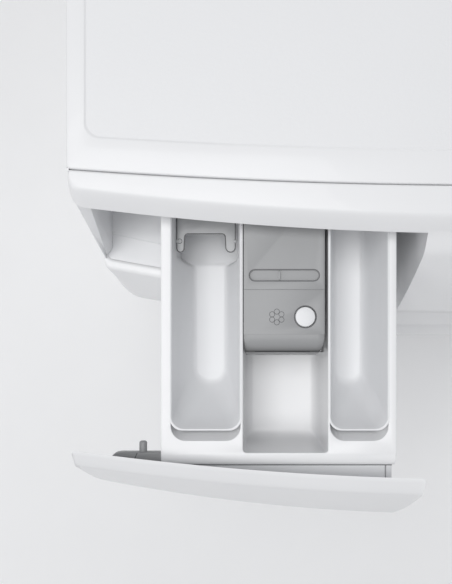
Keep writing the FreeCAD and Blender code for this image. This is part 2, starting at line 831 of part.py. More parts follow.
def make_dispenser_housing():
    """Open-fronted casing that the detergent drawer slides in."""
    left, right = d.box_left - 2.5, d.box_right + 2.5
    low, high = level(d.box_rim_drop + d.box_tall) - 2, level(26)
    front = d.console_back_y + 0.5
    back = front + 224
    wall = 2.5
    shell = cut(box((left - wall, front, low - wall), (right + wall, back, high + wall)),
                box((left, front - 1, low), (right, back - wall, high)))
    spout = tube(((left + right) / 2, back - 60, low - wall - 20), 20, 17, 20)
    return node("dispenser_housing", fuse(shell, spout))


def make_inlet_valves():
    """Two solenoid valves with threaded ends through the rear panel."""
    back, middle, height = d.rear_y, d.inlet_x, d.inlet_z
    pieces = [box((middle - 42, back - 12, height - 17), (middle + 42, back - 2, height + 17))]
    places = [middle + d.inlet_pitch / 2 * side for side in (-1, 1)]
    for across in places:
        pieces.append(cylinder((across, back - 2, height), 17, 4, "Y"))
        pieces.append(cylinder((across, back + 2, height), 13.2, 19.16, "Y"))
        pieces.append(cylinder((across, back - 60, height), 12, 49, "Y"))
        pieces.append(box((across - 14, back - 56, height + 10),
                          (across + 14, back - 24, height + 40)))
    bores = [cylinder((across, back - 2, height), 9.5, 30, "Y") for across in places]
    return node("inlet_valves", cut(fuse(*pieces), *bores))


def make_control_box():
    """Main control board casing under the worktop's rear right."""
    return node("control_box", cut(box((100, 200, 862), (320, 360, 900)),
                                   box((103, 203, 865), (317, 357, 900))))


def make_display_lens():
    """Flat window set into the fascia."""
    wide, tall, thick, sunk = 119.4, 33.4, 4.5, 4.0
    lens = Part.makeBox(wide, tall, thick, VECTOR(-wide / 2, -tall / 2, -sunk))
    return node("display_lens", at_fascia(lens, d.display_x.number, d.control_drop.number))


def make_drain_group():
    """Pump, filter housing, sump hose, drain hose and its outlet."""
    filter_x, filter_z = d.filter_x, d.filter_z
    pump = fuse(cylinder((filter_x, -120, filter_z - 18), 30, 60, "Y"),
                cylinder((filter_x, -60, filter_z - 18), 22, 50, "Y"))
    node("drain_pump", pump)
    housing = cut(cylinder((filter_x, -208, filter_z), 30, 86, "Y"),
                  cylinder((filter_x, -208, filter_z), 27, 80, "Y"))
    node("filter_housing", housing)
    hose = pipe_shape([(-150, -80, 118), (-60, -80, 118), (-20, 20, 160), (-20, 20, 201)], 16, 13)
    node("sump_hose", free_shape(hose))
    side = -326
    across, height = d.outlet_x.number, d.outlet_z.number
    route = [(-256, -90, 92), (side, -90, 92), (side, 0, 120), (side, 300, 500),
             (side, 400, 800), (across, 420, height), (across, 443, height)]
    node("drain_hose", free_shape(pipe_shape(route, 12, 9)))
    back = d.rear_y
    outlet = cut(fuse(cylinder((d.outlet_x, back - 12, d.outlet_z), 16, 26, "Y"),
                      cylinder((d.outlet_x, back, d.outlet_z), 22, 3, "Y")),
                 cylinder((d.outlet_x, back - 12, d.outlet_z), 12, 26, "Y"))
    node("drain_outlet", outlet)


def pipe_shape(route, outer, inner):
    """A hose along straight runs with rounded joints."""
    points = [VECTOR(*place_point) for place_point in route]
    pieces = [Part.makeSphere(outer, point) for point in points[1:-1]]
    holes = []
    for first, last in zip(points, points[1:]):
        length = (last - first).Length
        pieces.append(Part.makeCylinder(outer, length, first, last - first))
        holes.append(Part.makeCylinder(inner, length, first, last - first))
    solid = pieces[0].fuse(pieces[1:])
    return solid.cut(holes[0].fuse(holes[1:]))


def make_cord_gland():
    """Strain relief of the power lead."""
    across, back, height = d.gland_x, d.rear_y, d.gland_z
    gland = cut(fuse(cylinder((across, back - 8, height), 10.5, 16, "Y"),
                     cylinder((across, back, height), 15, 5, "Y")),
                cylinder((across, back - 8, height), 4.5, 16, "Y"))
    return node("power_gland", gland)


def make_door_lock():
    """Electric interlock behind the front panel's slot."""
    centre = d.drum_axis_z
    seat = d.door_seat_y
    body = cut(box((206, seat + 2, centre - 45), (240, seat + 44, centre + 45)),
               box((210, seat + 1, centre - 17), (233, seat + 38, centre + 17)))
    return node("door_lock", body)


# ---- door ------------------------------------------------------------------

def make_door():
    """Ring, window bowl, inner frame, handle, hinge and hook."""
    front, back = d.door_front_y, d.door_back_y
    outer, window = d.door_radius, d.window_radius
    node("door_ring", on_axis((
        (window + 6, front + 14), (window + 24, front), (outer - 26, front + 2),
        (outer - 6, front + 16), (outer, front + 34), (outer, back + 0), (outer - 4, back + 0),
        (outer - 4, front + 36), (outer - 28, front + 8), (window + 26, front + 6),
        (window + 10, front + 20), (window + 6, front + 20))))
    node("door_bowl", on_axis((
        (0, front + 12), (window - 40, front + 13), (window + 5, front + 16),
        (window + 5, front + 22), (window - 4, front + 26), (window - 8, back + 6),
        (142, -176), (118, -158), (60, -150), (0, -148), (0, -153), (58, -155), (114, -163),
        (136, -179), (window - 13, back + 2), (window - 10, front + 22),
        (window - 42, front + 18), (0, front + 17))))
    node("door_inner_frame", on_axis((
        (window - 3, front + 27), (window + 16, front + 27), (window + 20, back - 4),
        (outer - 5, back - 4), (outer - 5, back), (window + 4, back), (window - 3, back - 3))))
    make_door_handle()
    make_door_hinge()
    centre = d.drum_axis_z
    hook = fuse(box((214, back, centre - 8), (220, back + 26, centre + 8)),
                box((214, back + 18, centre - 8), (226, back + 26, centre + 8)))
    node("door_latch_hook", hook)


def make_door_handle():
    """Grip bridged over a finger hollow at the right of the ring."""
    centre = d.drum_axis_z.number
    front = d.door_front_y.number
    outer = d.door_radius.number

    def sector(radius, start, end):
        return Part.makeCylinder(radius, end - start, VECTOR(0, start, centre), VECTOR(0, 1, 0))

    band = sector(outer - 11, front - 34, front + 3).cut(
        sector(outer - 35, front - 35, front + 4))
    grip = band.common(block_shape((120, front - 40, centre - 105), (260, -250, centre + 105)))
    gap = block_shape((120, front - 22, centre - 88), (260, -250, centre + 88))
    node("door_handle", free_shape(grip.cut(gap)))


def make_door_hinge():
    """Fixed leaf and pin on the cabinet, knuckle on the door."""
    x, y, z = d.hinge_x, d.hinge_y, d.drum_axis_z
    pin = cylinder((x, y, z - 42), 4, 84)
    ears = [cylinder((x, y, height), 8, 12) for height in (z - 42, z + 30)]
    arms = [box((x - 8, y, height), (x, d.door_seat_y - 13, height + 12))
            for height in (z - 42, z + 30)]
    leaf = box((x - 8, d.door_seat_y - 13, z - 50), (x - 3, d.door_seat_y - 6.6, z + 50))
    node("door_hinge_leaf", fuse(pin, *ears, *arms, leaf))
    knuckle = cylinder((x, y, z - 29), 8, 58)
    arm = box((x, y - 5, z - 29), (x + 22, y + 5, z + 29))
    bore = cylinder((x, y, z - 29), 4.05, 58)
    node("door_hinge_knuckle", cut(fuse(knuckle, arm), bore))


# ---- detergent drawer ------------------------------------------------------

# left side, right side, front and front corner radius
LEFT_WELL = (-264.5, -206.1, -388.7, 12.0)
MIDDLE_WELL = (-204.0, -132.4, -399.0, 3.0)
RIGHT_WELL = (-130.6, -81.8, -388.7, 12.0)


def rounded_well(left, right, front, back, low, high, corner):
    """A vertical-walled hollow with rounded front corners."""
    block = block_shape((left, front, low), (right, back, high))
    edges = [edge for edge in block.Edges
             if abs(edge.BoundBox.ZLength - (high - low)) < 1e-6
             and abs(edge.BoundBox.YMin - front) < 1e-6]
    return block.makeFillet(corner, edges)


def make_drawer_box():
    """Tray with three compartments."""
    rim = level(d.box_rim_drop).number
    low = rim - d.box_tall.number
    front = d.box_front_y.number
    back = front + d.box_long.number
    body = block_shape((d.box_left.number, front, low), (d.box_right.number, back, rim))
    for left, right, well_front, corner in (LEFT_WELL, MIDDLE_WELL, RIGHT_WELL):
        body = body.cut(rounded_well(left, right, well_front, d.well_back_y.number,
                                     rim - d.well_deep.number, rim + 1, corner))
    return node("drawer_box", free_shape(body.cut(room_in_front(nodes["drawer_front"].Shape))))


def make_cup(label, well):
    """Pull-out insert with a curved front lip."""
    rim = level(d.box_rim_drop).number
    gap, wall, lip, corner = 0.4, 1.6, 2.2, 11.0
    left, right = well[0] + gap, well[1] - gap
    front, back = d.cup_front_y.number, d.well_back_y.number - gap
    outer = rounded_well(left, right, front, back, rim - 64, rim - 2, corner)
    inner = rounded_well(left + wall, right - wall, front + lip, back - 2,
                         rim - 61, rim + 2, corner - wall)
    return node(label, free_shape(outer.cut(inner)))


def make_siphon_cover():
    """Lid and siphon of the softener compartment."""
    rim = level(d.box_rim_drop).number
    left, right = -203.2, -135.6
    front, back = -315.6, -172.0
    lid = rounded_well(left, right, front, back, rim - 3.5, rim + 1.5, 6.0)
    skirt = rounded_well(left + 1, right - 1, front + 1, back, rim - 22, rim - 3, 6.0)
    skirt = skirt.cut(rounded_well(left + 3, right - 3, front + 3, back - 2, rim - 23,
                                   rim - 3.4, 4.0))
    tube_body = Part.makeCylinder(7.0, 40, VECTOR(-169, -250, rim - 58))
    hole = Part.makeCylinder(9.2, 10, VECTOR(-151.6, -284.8, rim - 5))
    slot = block_shape((-196, -254.8, rim - 5), (-143, -246.6, rim + 5))
    lid = lid.cut(hole)
    slot_floor = block_shape((-199, -258, rim - 5.5), (-140, -243, rim - 2.5))
    cover = lid.cut(slot).fuse([skirt, slot_floor, tube_body])
    return node("softener_siphon_cover", free_shape(cover))


def make_flap():
    """Detergent flap: an arch between two prongs, each on its own stub pin."""
    pivot_y, pivot_z = d.flap_y.number, d.flap_z.number
    left, right = -262.2, -210.4
    rear, arch, tip = -184.0, -212.4, -228.6
    prong, pin_radius = 9.4, 1.8
    plate = block_shape((left, arch, pivot_z - 1), (right, rear, pivot_z + 1))
    arms = []
    for start in (left, right - prong):
        arms.append(block_shape((start, tip, pivot_z - 1), (start + prong, arch, pivot_z + 1)))
        arms.append(Part.makeCylinder(pin_radius, prong, VECTOR(start, pivot_y, pivot_z),
                                      VECTOR(1, 0, 0)))
    return node("detergent_flap", free_shape(plate.fuse(arms).removeSplitter()))


def make_drawer_front():
    """Bowed, sloping front plate, thick above and thin below."""
    plate = plate_shape(plate_levels(0.0, 0.0, 0.0, -half_wide.number, d.plate_right.number))
    return node("drawer_front", free_shape(plate))


def make_drawer_fittings():
    """Stiffener and latch bracket between box and front plate."""
    rim = level(d.box_rim_drop).number
    plate = nodes["drawer_front"].Shape
    box_front = d.box_front_y.number
    stiffener = block_shape((-262, -440, rim - 70), (-77, box_front - 0.2, rim - 8))
    stiffener = stiffener.cut(room_in_front(plate))
    node("drawer_stiffener", free_shape(stiffener))
    arm_back = -399.3
    bracket = block_shape((-316, -430, rim - 20), (d.box_left.number - 0.2, arm_back, rim - 4))
    bracket = bracket.cut(room_in_front(plate))
    pin = Part.makeCylinder(3.3, 9.2, VECTOR(-289.1, arm_back - 0.1, rim - 10), VECTOR(0, 1, 0))
    node("drawer_latch_bracket", free_shape(bracket.fuse(pin)))


def room_in_front(plate):
    """Everything from the plate's back face forwards."""
    reach = 9.0
    shifted = [plate.copy() for _ in range(6)]
    for step, copy in enumerate(shifted, start=1):
        copy.translate(VECTOR(0, -reach * step, 0))
    return plate.fuse(shifted)


# ---- controls --------------------------------------------------------------

def at_fascia(shape, across, drop):
    """Stand a control made along +Z on the fascia."""
    shape.Placement = FreeCAD.Placement(fascia_point(across, drop), fascia_turn(across))
    return free_shape(shape)


def make_controls():
    drop = d.control_drop.number
    radius = d.knob_radius.number
    skirt = Part.makeCone(radius, radius - 2.0, 6, VECTOR(0, 0, 1.0))
    grip = Part.makeCone(radius - 6.0, radius - 8.0, 16, VECTOR(0, 0, 7.0))
    shaft = Part.makeCylinder(4.0, 14, VECTOR(0, 0, -13))
    node("cycle_knob", at_fascia(skirt.fuse([grip, shaft]).removeSplitter(),
                                 d.knob_x.number, drop))
    key_length, key_sunk = 13.0, 9.0
    for label, across in (("power_button", d.power_x), ("start_button", d.start_x)):
        cap = Part.makeCylinder(KEY_RADIUS, key_length, VECTOR(0, 0, -key_sunk))
        node(label, at_fascia(cap, across.number, drop))
    for label, across in option_places():
        key = Part.makeBox(24, 8, 11, VECTOR(-12, -4, -8))
        node(label, at_fascia(key, across, option_drop()))


def make_filter_access():
    """Small door in the toe panel and the screw cap of the drain filter."""
    half = 59.4
    _, shell = panel_shell(69.2, 160.8, 3.5)
    across, height = d.filter_x.number, d.filter_z.number
    door = shell.common(block_shape((across - half, -300, 60), (across + half, -200, 170)))
    node("filter_door", free_shape(door))
    cap = Part.makeCylinder(26.5, 8, VECTOR(across, -216, height), VECTOR(0, 1, 0))
    grip = block_shape((across - 22, -226, height - 4), (across + 22, -216, height + 4))
    node("filter_cap", free_shape(cap.fuse(grip)))


def build():
    make_base_frame()
    make_side_panel("left_side_panel", -half_wide, 1)
    make_side_panel("right_side_panel", half_wide, -1)
    make_rear_panel()
    make_rear_cover()
    make_front_panel()
    make_toe_panel()
    make_worktop()
    make_finished_console()
    make_top_braces()
    make_levelling_feet()
    make_panel_screws()
    make_tub()
    make_counterweights()
    make_drum()
    make_drive()
    make_gasket()
    make_suspension()
    make_dispenser_housing()
    make_inlet_valves()
    make_control_box()
    make_display_lens()
    make_drain_group()
    make_cord_gland()
    make_door_lock()
    make_door()
    make_drawer_front()
    make_drawer_box()
    make_cup("detergent_cup", LEFT_WELL)
    make_cup("bleach_cup", RIGHT_WELL)
    make_siphon_cover()
    make_flap()
    make_drawer_fittings()
    make_controls()
    make_filter_access()


def check_and_export():
    """Stop on any failed object, then write one file per sub-part."""
    document.recompute()
    for made in document.Objects:
        if "Invalid" in made.State or "Error" in made.State:
            raise RuntimeError(f"{made.Label} failed: {made.State}")
    os.makedirs("parts", exist_ok=True)
    for label, made in nodes.items():
        shape = made.Shape
        if shape.isNull() or not shape.isValid() or shape.Volume <= 0:
            raise RuntimeError(f"{label} has no valid shape")
        shape.exportStep(f"parts/{label}.step")
    print(len(nodes), "sub-parts written")


build()
check_and_export()
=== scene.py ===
"""Front load washing machine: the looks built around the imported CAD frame.

Outlines are written in millimetres: x across, y along, and drop, the distance below the worktop.
at() and level_ring() turn them into points in metres.
"""
import json
import math
import bmesh
import bpy
import numpy as np
from mathutils import Matrix, Vector


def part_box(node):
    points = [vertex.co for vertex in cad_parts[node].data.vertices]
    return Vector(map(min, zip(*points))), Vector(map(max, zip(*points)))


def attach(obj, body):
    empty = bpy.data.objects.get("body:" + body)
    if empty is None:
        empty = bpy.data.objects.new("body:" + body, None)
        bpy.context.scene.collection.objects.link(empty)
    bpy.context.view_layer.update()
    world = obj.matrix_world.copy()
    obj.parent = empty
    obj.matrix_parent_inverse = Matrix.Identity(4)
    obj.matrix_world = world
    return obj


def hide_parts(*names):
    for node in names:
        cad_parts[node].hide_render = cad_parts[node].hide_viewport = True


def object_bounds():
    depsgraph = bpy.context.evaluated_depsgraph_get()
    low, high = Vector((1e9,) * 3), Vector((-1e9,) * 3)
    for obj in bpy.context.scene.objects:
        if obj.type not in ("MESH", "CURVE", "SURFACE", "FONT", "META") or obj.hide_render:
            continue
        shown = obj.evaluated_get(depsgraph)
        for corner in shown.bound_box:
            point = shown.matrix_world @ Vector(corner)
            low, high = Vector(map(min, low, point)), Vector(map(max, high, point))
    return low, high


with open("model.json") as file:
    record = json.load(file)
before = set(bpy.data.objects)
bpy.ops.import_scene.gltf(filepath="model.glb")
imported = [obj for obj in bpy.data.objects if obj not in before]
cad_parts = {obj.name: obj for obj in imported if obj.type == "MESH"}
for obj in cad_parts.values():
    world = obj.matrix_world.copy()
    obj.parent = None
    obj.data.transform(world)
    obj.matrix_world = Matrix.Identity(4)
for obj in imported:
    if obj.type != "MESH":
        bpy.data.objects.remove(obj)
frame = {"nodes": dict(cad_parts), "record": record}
cad_low, cad_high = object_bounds()

MM = 0.001
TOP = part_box("worktop")[1].z
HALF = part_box("console")[1].x
FLOOR = cad_low.z

# Bowed lines in millimetres: front point on the middle plane, plan radius
FASCIA_HEAD_LINE = (-233.7, 2312.0)
FASCIA_FOOT_LINE = (-278.0, 1795.0)
RIDGE_LINE = (-218.0, 2530.0)
STEP_BOW = 1500.0
FASCIA_HEAD, FASCIA_FOOT = 24.0, 115.0
BULGE = 2.6

# Front panels: front point, plan radius, half width, corner radius, rear edge (mm)
PANEL = (-255.0, 1750.0, 343.0, 48.0, -166.0)
PANEL_FLAT_HALF = 290.0

BAY_BACK, BAY_RIGHT = -153.5, -54.0
TRAVEL = 199.0
CONTROL_DROP, OPTION_DROP = 66.0, 97.0


# ---------------------------------------------------------------- mesh tools

def add_piece(name, points, faces, material, body, replaces=(), sharp=35.0):
    """A mesh piece, smooth except across edges sharper than the angle."""
    mesh = bpy.data.meshes.new(name)
    mesh.from_pydata([tuple(p) for p in points], [], faces)
    work = bmesh.new()
    work.from_mesh(mesh)
    bmesh.ops.remove_doubles(work, verts=work.verts, dist=1e-6)
    loose = [v for v in work.verts if not v.link_faces]
    bmesh.ops.delete(work, geom=loose, context="VERTS")
    bmesh.ops.recalc_face_normals(work, faces=work.faces)
    limit = math.radians(sharp)
    for face in work.faces:
        face.smooth = True
    for edge in work.edges:
        edge.smooth = len(edge.link_faces) == 2 and edge.calc_face_angle(0.0) < limit
    work.to_mesh(mesh)
    work.free()
    piece = bpy.data.objects.new(name, mesh)
    bpy.context.scene.collection.objects.link(piece)
    piece.data.materials.append(MAT[material])
    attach(piece, body)
    if replaces:
        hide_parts(*replaces)


class Builder:
    """Collects grids, fans and boxes into one mesh."""

    def __init__(self):
        self.points = []
        self.faces = []

    def grid(self, rings, closed=False):
        """Quads between successive rings of equal length."""
        start = len(self.points)
        width = len(rings[0])
        for ring in rings:
            self.points.extend(Vector(p) for p in ring)
        last = width if closed else width - 1
        for row in range(len(rings) - 1):
            for col in range(last):
                a = start + row * width + col
                b = start + row * width + (col + 1) % width
                self.faces.append((a, b, b + width, a + width))
        return self

    def fan(self, ring):
        """One polygon over a ring."""
        start = len(self.points)
        self.points.extend(Vector(p) for p in ring)
        self.faces.append(tuple(range(start, start + len(ring))))
        return self

    def strip(self, first, second, closed=False):
        return self.grid([first, second], closed)

    def solid(self, rings):
        """A tube through the rings with both ends filled."""
        return self.grid(rings, closed=True).fan(rings[0]).fan(rings[-1])

    def block(self, low, high, edge=0.0006):
        """A box with narrow chamfered edges."""
        low, high = Vector(low), Vector(high)
        work = bmesh.new()
        bmesh.ops.create_cube(work, size=1.0)
        size = high - low
        bmesh.ops.scale(work, vec=size, verts=work.verts)
        bmesh.ops.translate(work, vec=(low + high) / 2, verts=work.verts)
        if edge:
            bmesh.ops.bevel(work, geom=list(work.edges), offset=edge, segments=2,
                            affect="EDGES", profile=0.6)
        self.absorb(work)
        return self

    def absorb(self, work):
        start = len(self.points)
        work.verts.index_update()
        self.points.extend(v.co.copy() for v in work.verts)
        for face in work.faces:
            self.faces.append(tuple(start + v.index for v in face.verts))
        work.free()

    def lathe(self, outline, steps=96, axis="Y", centre=(0, 0, 0), closed=False):
        """Turn (radius, along) points in millimetres about an axis."""
        centre = Vector(centre)
        rings = []
        rows = list(outline) + ([outline[0]] if closed else [])
        for radius_mm, along_mm in rows:
            radius, along = radius_mm * MM, along_mm * MM
            ring = []
            for step in range(steps):
                turn = 2 * math.pi * step / steps
                across, up = radius * math.cos(turn), radius * math.sin(turn)
                local = {"Y": (across, along, up), "Z": (across, up, along),
                         "X": (along, across, up)}[axis]
                ring.append(centre + Vector(local))
            rings.append(ring)
        return self.grid(rings, closed=True)

    def turned(self, matrix):
        self.points = [matrix @ p for p in self.points]
        return self

    def make(self, name, material, body, slot, replaces=(), sharp=35.0):
        add_piece(name, self.points, self.faces, material, body, replaces, sharp)


def smooth_outline(points, steps=6):
    """A Catmull-Rom curve through the points of a profile."""
    pts = [np.array(p, float) for p in points]
    padded = [2 * pts[0] - pts[1]] + pts + [2 * pts[-1] - pts[-2]]
    out = []
    for i in range(1, len(padded) - 2):
        p0, p1, p2, p3 = padded[i - 1:i + 3]
        for s in range(steps):
            t = s / steps
            out.append(0.5 * ((2 * p1) + (-p0 + p2) * t + (2 * p0 - 5 * p1 + 4 * p2 - p3) * t**2
                              + (-p0 + 3 * p1 - 3 * p2 + p3) * t**3))
    out.append(pts[-1])
    return [tuple(p) for p in out]


def rounded_polyline(points, radius, steps=5):
    """Corners of a profile replaced by small arcs."""
    pts = [np.array(p, float) for p in points]
    out = [pts[0]]
    for before, here, after in zip(pts, pts[1:], pts[2:]):
        first, second = before - here, after - here
        reach = min(radius, 0.45 * np.linalg.norm(first), 0.45 * np.linalg.norm(second))
        start = here + first / np.linalg.norm(first) * reach
        end = here + second / np.linalg.norm(second) * reach
        for s in range(steps + 1):
            t = s / steps
            out.append((1 - t)**2 * start + 2 * t * (1 - t) * here + t**2 * end)
    out.append(pts[-1])
    return [tuple(p) for p in out]


def arc_y(front, bow, x):
    """Front line of a bowed outline at x."""
    return front + bow - math.sqrt(bow * bow - x * x)


def rounded_rectangle(left, right, front, back, corner, steps=8):
    """Plan points (x, y), counter-clockwise, corner radii (front, back)."""
    near, far = corner if isinstance(corner, tuple) else (corner, corner)
    out = []
    for cx, cy, radius, start in ((right - near, front + near, near, -90),
                                  (right - far, back - far, far, 0),
                                  (left + far, back - far, far, 90),
                                  (left + near, front + near, near, 180)):
        for s in range(steps + 1):
            turn = math.radians(start + 90 * s / steps)
            out.append((cx + radius * math.cos(turn), cy + radius * math.sin(turn)))
    return out


def level_ring(outline, z):
    """Points in metres at one height from a plan outline in millimetres."""
    return [Vector((x * MM, y * MM, z)) for x, y in outline]


def scaled_to(outline, inset):
    """An outline moved inwards by a distance, along its normals."""
    count = len(outline)
    out = []
    for i in range(count):
        x0, y0 = outline[i - 1]
        x1, y1 = outline[(i + 1) % count]
        dx, dy = x1 - x0, y1 - y0
        length = math.hypot(dx, dy) or 1.0
        out.append((outline[i][0] - dy / length * inset, outline[i][1] + dx / length * inset))
    return out


# ---------------------------------------------------------------- materials

def new_material(name):
    material = bpy.data.materials.new(name)
    material.use_nodes = True
    nodes = material.node_tree.nodes
    return material, nodes, material.node_tree.links, nodes["Principled BSDF"]


def noise(nodes, links, scale, detail=4.0, roughness=0.55, coords=None, kind="ShaderNodeTexNoise"):
    texture = nodes.new(kind)
    texture.inputs["Scale"].default_value = scale
    if "Detail" in texture.inputs:
        texture.inputs["Detail"].default_value = detail
    if "Roughness" in texture.inputs:
        texture.inputs["Roughness"].default_value = roughness
    source = coords or nodes.new("ShaderNodeTexCoord").outputs["Object"]
    links.new(source, texture.inputs["Vector"])
    return texture


def ramp(nodes, links, value, low, high, start=0.3, end=0.7):
    """Colour between two colours by a 0-1 value."""
    made = nodes.new("ShaderNodeValToRGB")
    made.color_ramp.elements[0].position = start
    made.color_ramp.elements[1].position = end
    made.color_ramp.elements[0].color = (*low, 1)
    made.color_ramp.elements[1].color = (*high, 1)
    links.new(value, made.inputs["Fac"])
    return made.outputs["Color"]


def span(nodes, links, value, low, high):
    made = nodes.new("ShaderNodeMapRange")
    made.inputs["To Min"].default_value = low
    made.inputs["To Max"].default_value = high
    links.new(value, made.inputs["Value"])
    return made.outputs["Result"]


def bump(nodes, links, height, strength, distance, shader):
    made = nodes.new("ShaderNodeBump")
    made.inputs["Strength"].default_value = strength
    made.inputs["Distance"].default_value = distance
    links.new(height, made.inputs["Height"])
    links.new(made.outputs["Normal"], shader.inputs["Normal"])
    return made


def plastic(name, colour, roughness=0.35, grain=900.0, grain_depth=0.00004, vary=0.03,
            coat=0.0, specular=0.5):
    """Moulded plastic: faint tone drift, fine grain, uneven polish."""
    material, nodes, links, shader = new_material(name)
    coords = nodes.new("ShaderNodeTexCoord").outputs["Object"]
    drift = noise(nodes, links, 9.0, 3.0, 0.5, coords)
    dark = tuple(c * (1 - vary) for c in colour)
    light = tuple(min(1.0, c * (1 + vary)) for c in colour)
    links.new(ramp(nodes, links, drift.outputs["Fac"], dark, light), shader.inputs["Base Color"])
    polish = noise(nodes, links, 60.0, 5.0, 0.6, coords)
    links.new(span(nodes, links, polish.outputs["Fac"], roughness - 0.06, roughness + 0.06),
              shader.inputs["Roughness"])
    grain_map = noise(nodes, links, grain, 2.0, 0.5, coords)
    bump(nodes, links, grain_map.outputs["Fac"], 0.25, grain_depth, shader)
    shader.inputs["Coat Weight"].default_value = coat
    shader.inputs["Specular IOR Level"].default_value = specular
    return material


def orange_peel(name, colour, cell=420.0, depth=0.00022, roughness=0.42):
    """Sprayed enamel with a pebbled surface."""
    material, nodes, links, shader = new_material(name)
    coords = nodes.new("ShaderNodeTexCoord").outputs["Object"]
    cells = noise(nodes, links, cell, kind="ShaderNodeTexVoronoi", coords=coords)
    cells.feature = "SMOOTH_F1"
    cells.inputs["Smoothness"].default_value = 0.6
    soft = noise(nodes, links, cell * 0.55, 3.0, 0.5, coords)
    blend = nodes.new("ShaderNodeMix")
    blend.inputs["Factor"].default_value = 0.5
    links.new(cells.outputs["Distance"], blend.inputs["A"])
    links.new(soft.outputs["Fac"], blend.inputs["B"])
    bump(nodes, links, blend.outputs["Result"], 0.45, depth, shader)
    drift = noise(nodes, links, 5.0, 2.0, 0.5, coords)
    dark = tuple(c * 0.985 for c in colour)
    links.new(ramp(nodes, links, drift.outputs["Fac"], dark, colour),
              shader.inputs["Base Color"])
    links.new(span(nodes, links, soft.outputs["Fac"], roughness - 0.05, roughness + 0.08),
              shader.inputs["Roughness"])
    return material


def metal(name, colour, roughness=0.3, stretch=(1, 1, 1), scale=220.0, depth=0.00002):
    """Brushed or polished metal; the brushing runs along the squeezed axis."""
    material, nodes, links, shader = new_material(name)
    coords = nodes.new("ShaderNodeTexCoord").outputs["Object"]
    mapping = nodes.new("ShaderNodeMapping")
    mapping.inputs["Scale"].default_value = stretch
    links.new(coords, mapping.inputs["Vector"])
    lines = noise(nodes, links, scale, 6.0, 0.6, mapping.outputs["Vector"])
    dark = tuple(c * 0.9 for c in colour)
    links.new(ramp(nodes, links, lines.outputs["Fac"], dark, colour), shader.inputs["Base Color"])
    links.new(span(nodes, links, lines.outputs["Fac"], roughness - 0.06, roughness + 0.1),
              shader.inputs["Roughness"])
    bump(nodes, links, lines.outputs["Fac"], 0.2, depth, shader)
    shader.inputs["Metallic"].default_value = 1.0
    return material


def galvanised(name):
    """Zinc sheet with spangle."""
    material, nodes, links, shader = new_material(name)
    coords = nodes.new("ShaderNodeTexCoord").outputs["Object"]
    spangle = noise(nodes, links, 95.0, kind="ShaderNodeTexVoronoi", coords=coords)
    tone = nodes.new("ShaderNodeSeparateColor")
    links.new(spangle.outputs["Color"], tone.inputs["Color"])
    links.new(ramp(nodes, links, tone.outputs["Red"], (0.50, 0.515, 0.53), (0.66, 0.67, 0.68),
                   0.0, 1.0), shader.inputs["Base Color"])
    links.new(span(nodes, links, tone.outputs["Green"], 0.38, 0.55), shader.inputs["Roughness"])
    fine = noise(nodes, links, 500.0, 3.0, 0.5, coords)
    bump(nodes, links, fine.outputs["Fac"], 0.2, 0.00003, shader)
    shader.inputs["Metallic"].default_value = 0.85
    return material


def rubber(name, colour):
    material, nodes, links, shader = new_material(name)
    coords = nodes.new("ShaderNodeTexCoord").outputs["Object"]
    dust = noise(nodes, links, 35.0, 6.0, 0.65, coords)
    light = tuple(min(1.0, c * 1.25 + 0.01) for c in colour)
    links.new(ramp(nodes, links, dust.outputs["Fac"], colour, light), shader.inputs["Base Color"])
    links.new(span(nodes, links, dust.outputs["Fac"], 0.55, 0.75), shader.inputs["Roughness"])
    fine = noise(nodes, links, 700.0, 2.0, 0.5, coords)
    bump(nodes, links, fine.outputs["Fac"], 0.3, 0.00006, shader)
    return material


def glass(name, colour, roughness=0.02):
    """Moulded glass with the faint waviness of pressing."""
    material, nodes, links, shader = new_material(name)
    coords = nodes.new("ShaderNodeTexCoord").outputs["Object"]
    wave = noise(nodes, links, 14.0, 2.0, 0.4, coords)
    links.new(ramp(nodes, links, wave.outputs["Fac"], tuple(c * 0.96 for c in colour), colour),
              shader.inputs["Base Color"])
    links.new(span(nodes, links, wave.outputs["Fac"], roughness, roughness + 0.03),
              shader.inputs["Roughness"])
    bump(nodes, links, wave.outputs["Fac"], 0.15, 0.0004, shader)
    shader.inputs["Transmission Weight"].default_value = 0.92
    shader.inputs["IOR"].default_value = 1.47
    return material


def concrete(name):
    material, nodes, links, shader = new_material(name)
    coords = nodes.new("ShaderNodeTexCoord").outputs["Object"]
    stones = noise(nodes, links, 160.0, kind="ShaderNodeTexVoronoi", coords=coords)
    sand = noise(nodes, links, 420.0, 8.0, 0.7, coords)
    links.new(ramp(nodes, links, sand.outputs["Fac"], (0.33, 0.32, 0.30), (0.55, 0.54, 0.51)),
              shader.inputs["Base Color"])
    links.new(span(nodes, links, stones.outputs["Distance"], 0.8, 0.95),
              shader.inputs["Roughness"])
    bump(nodes, links, sand.outputs["Fac"], 0.7, 0.0006, shader)
    return material


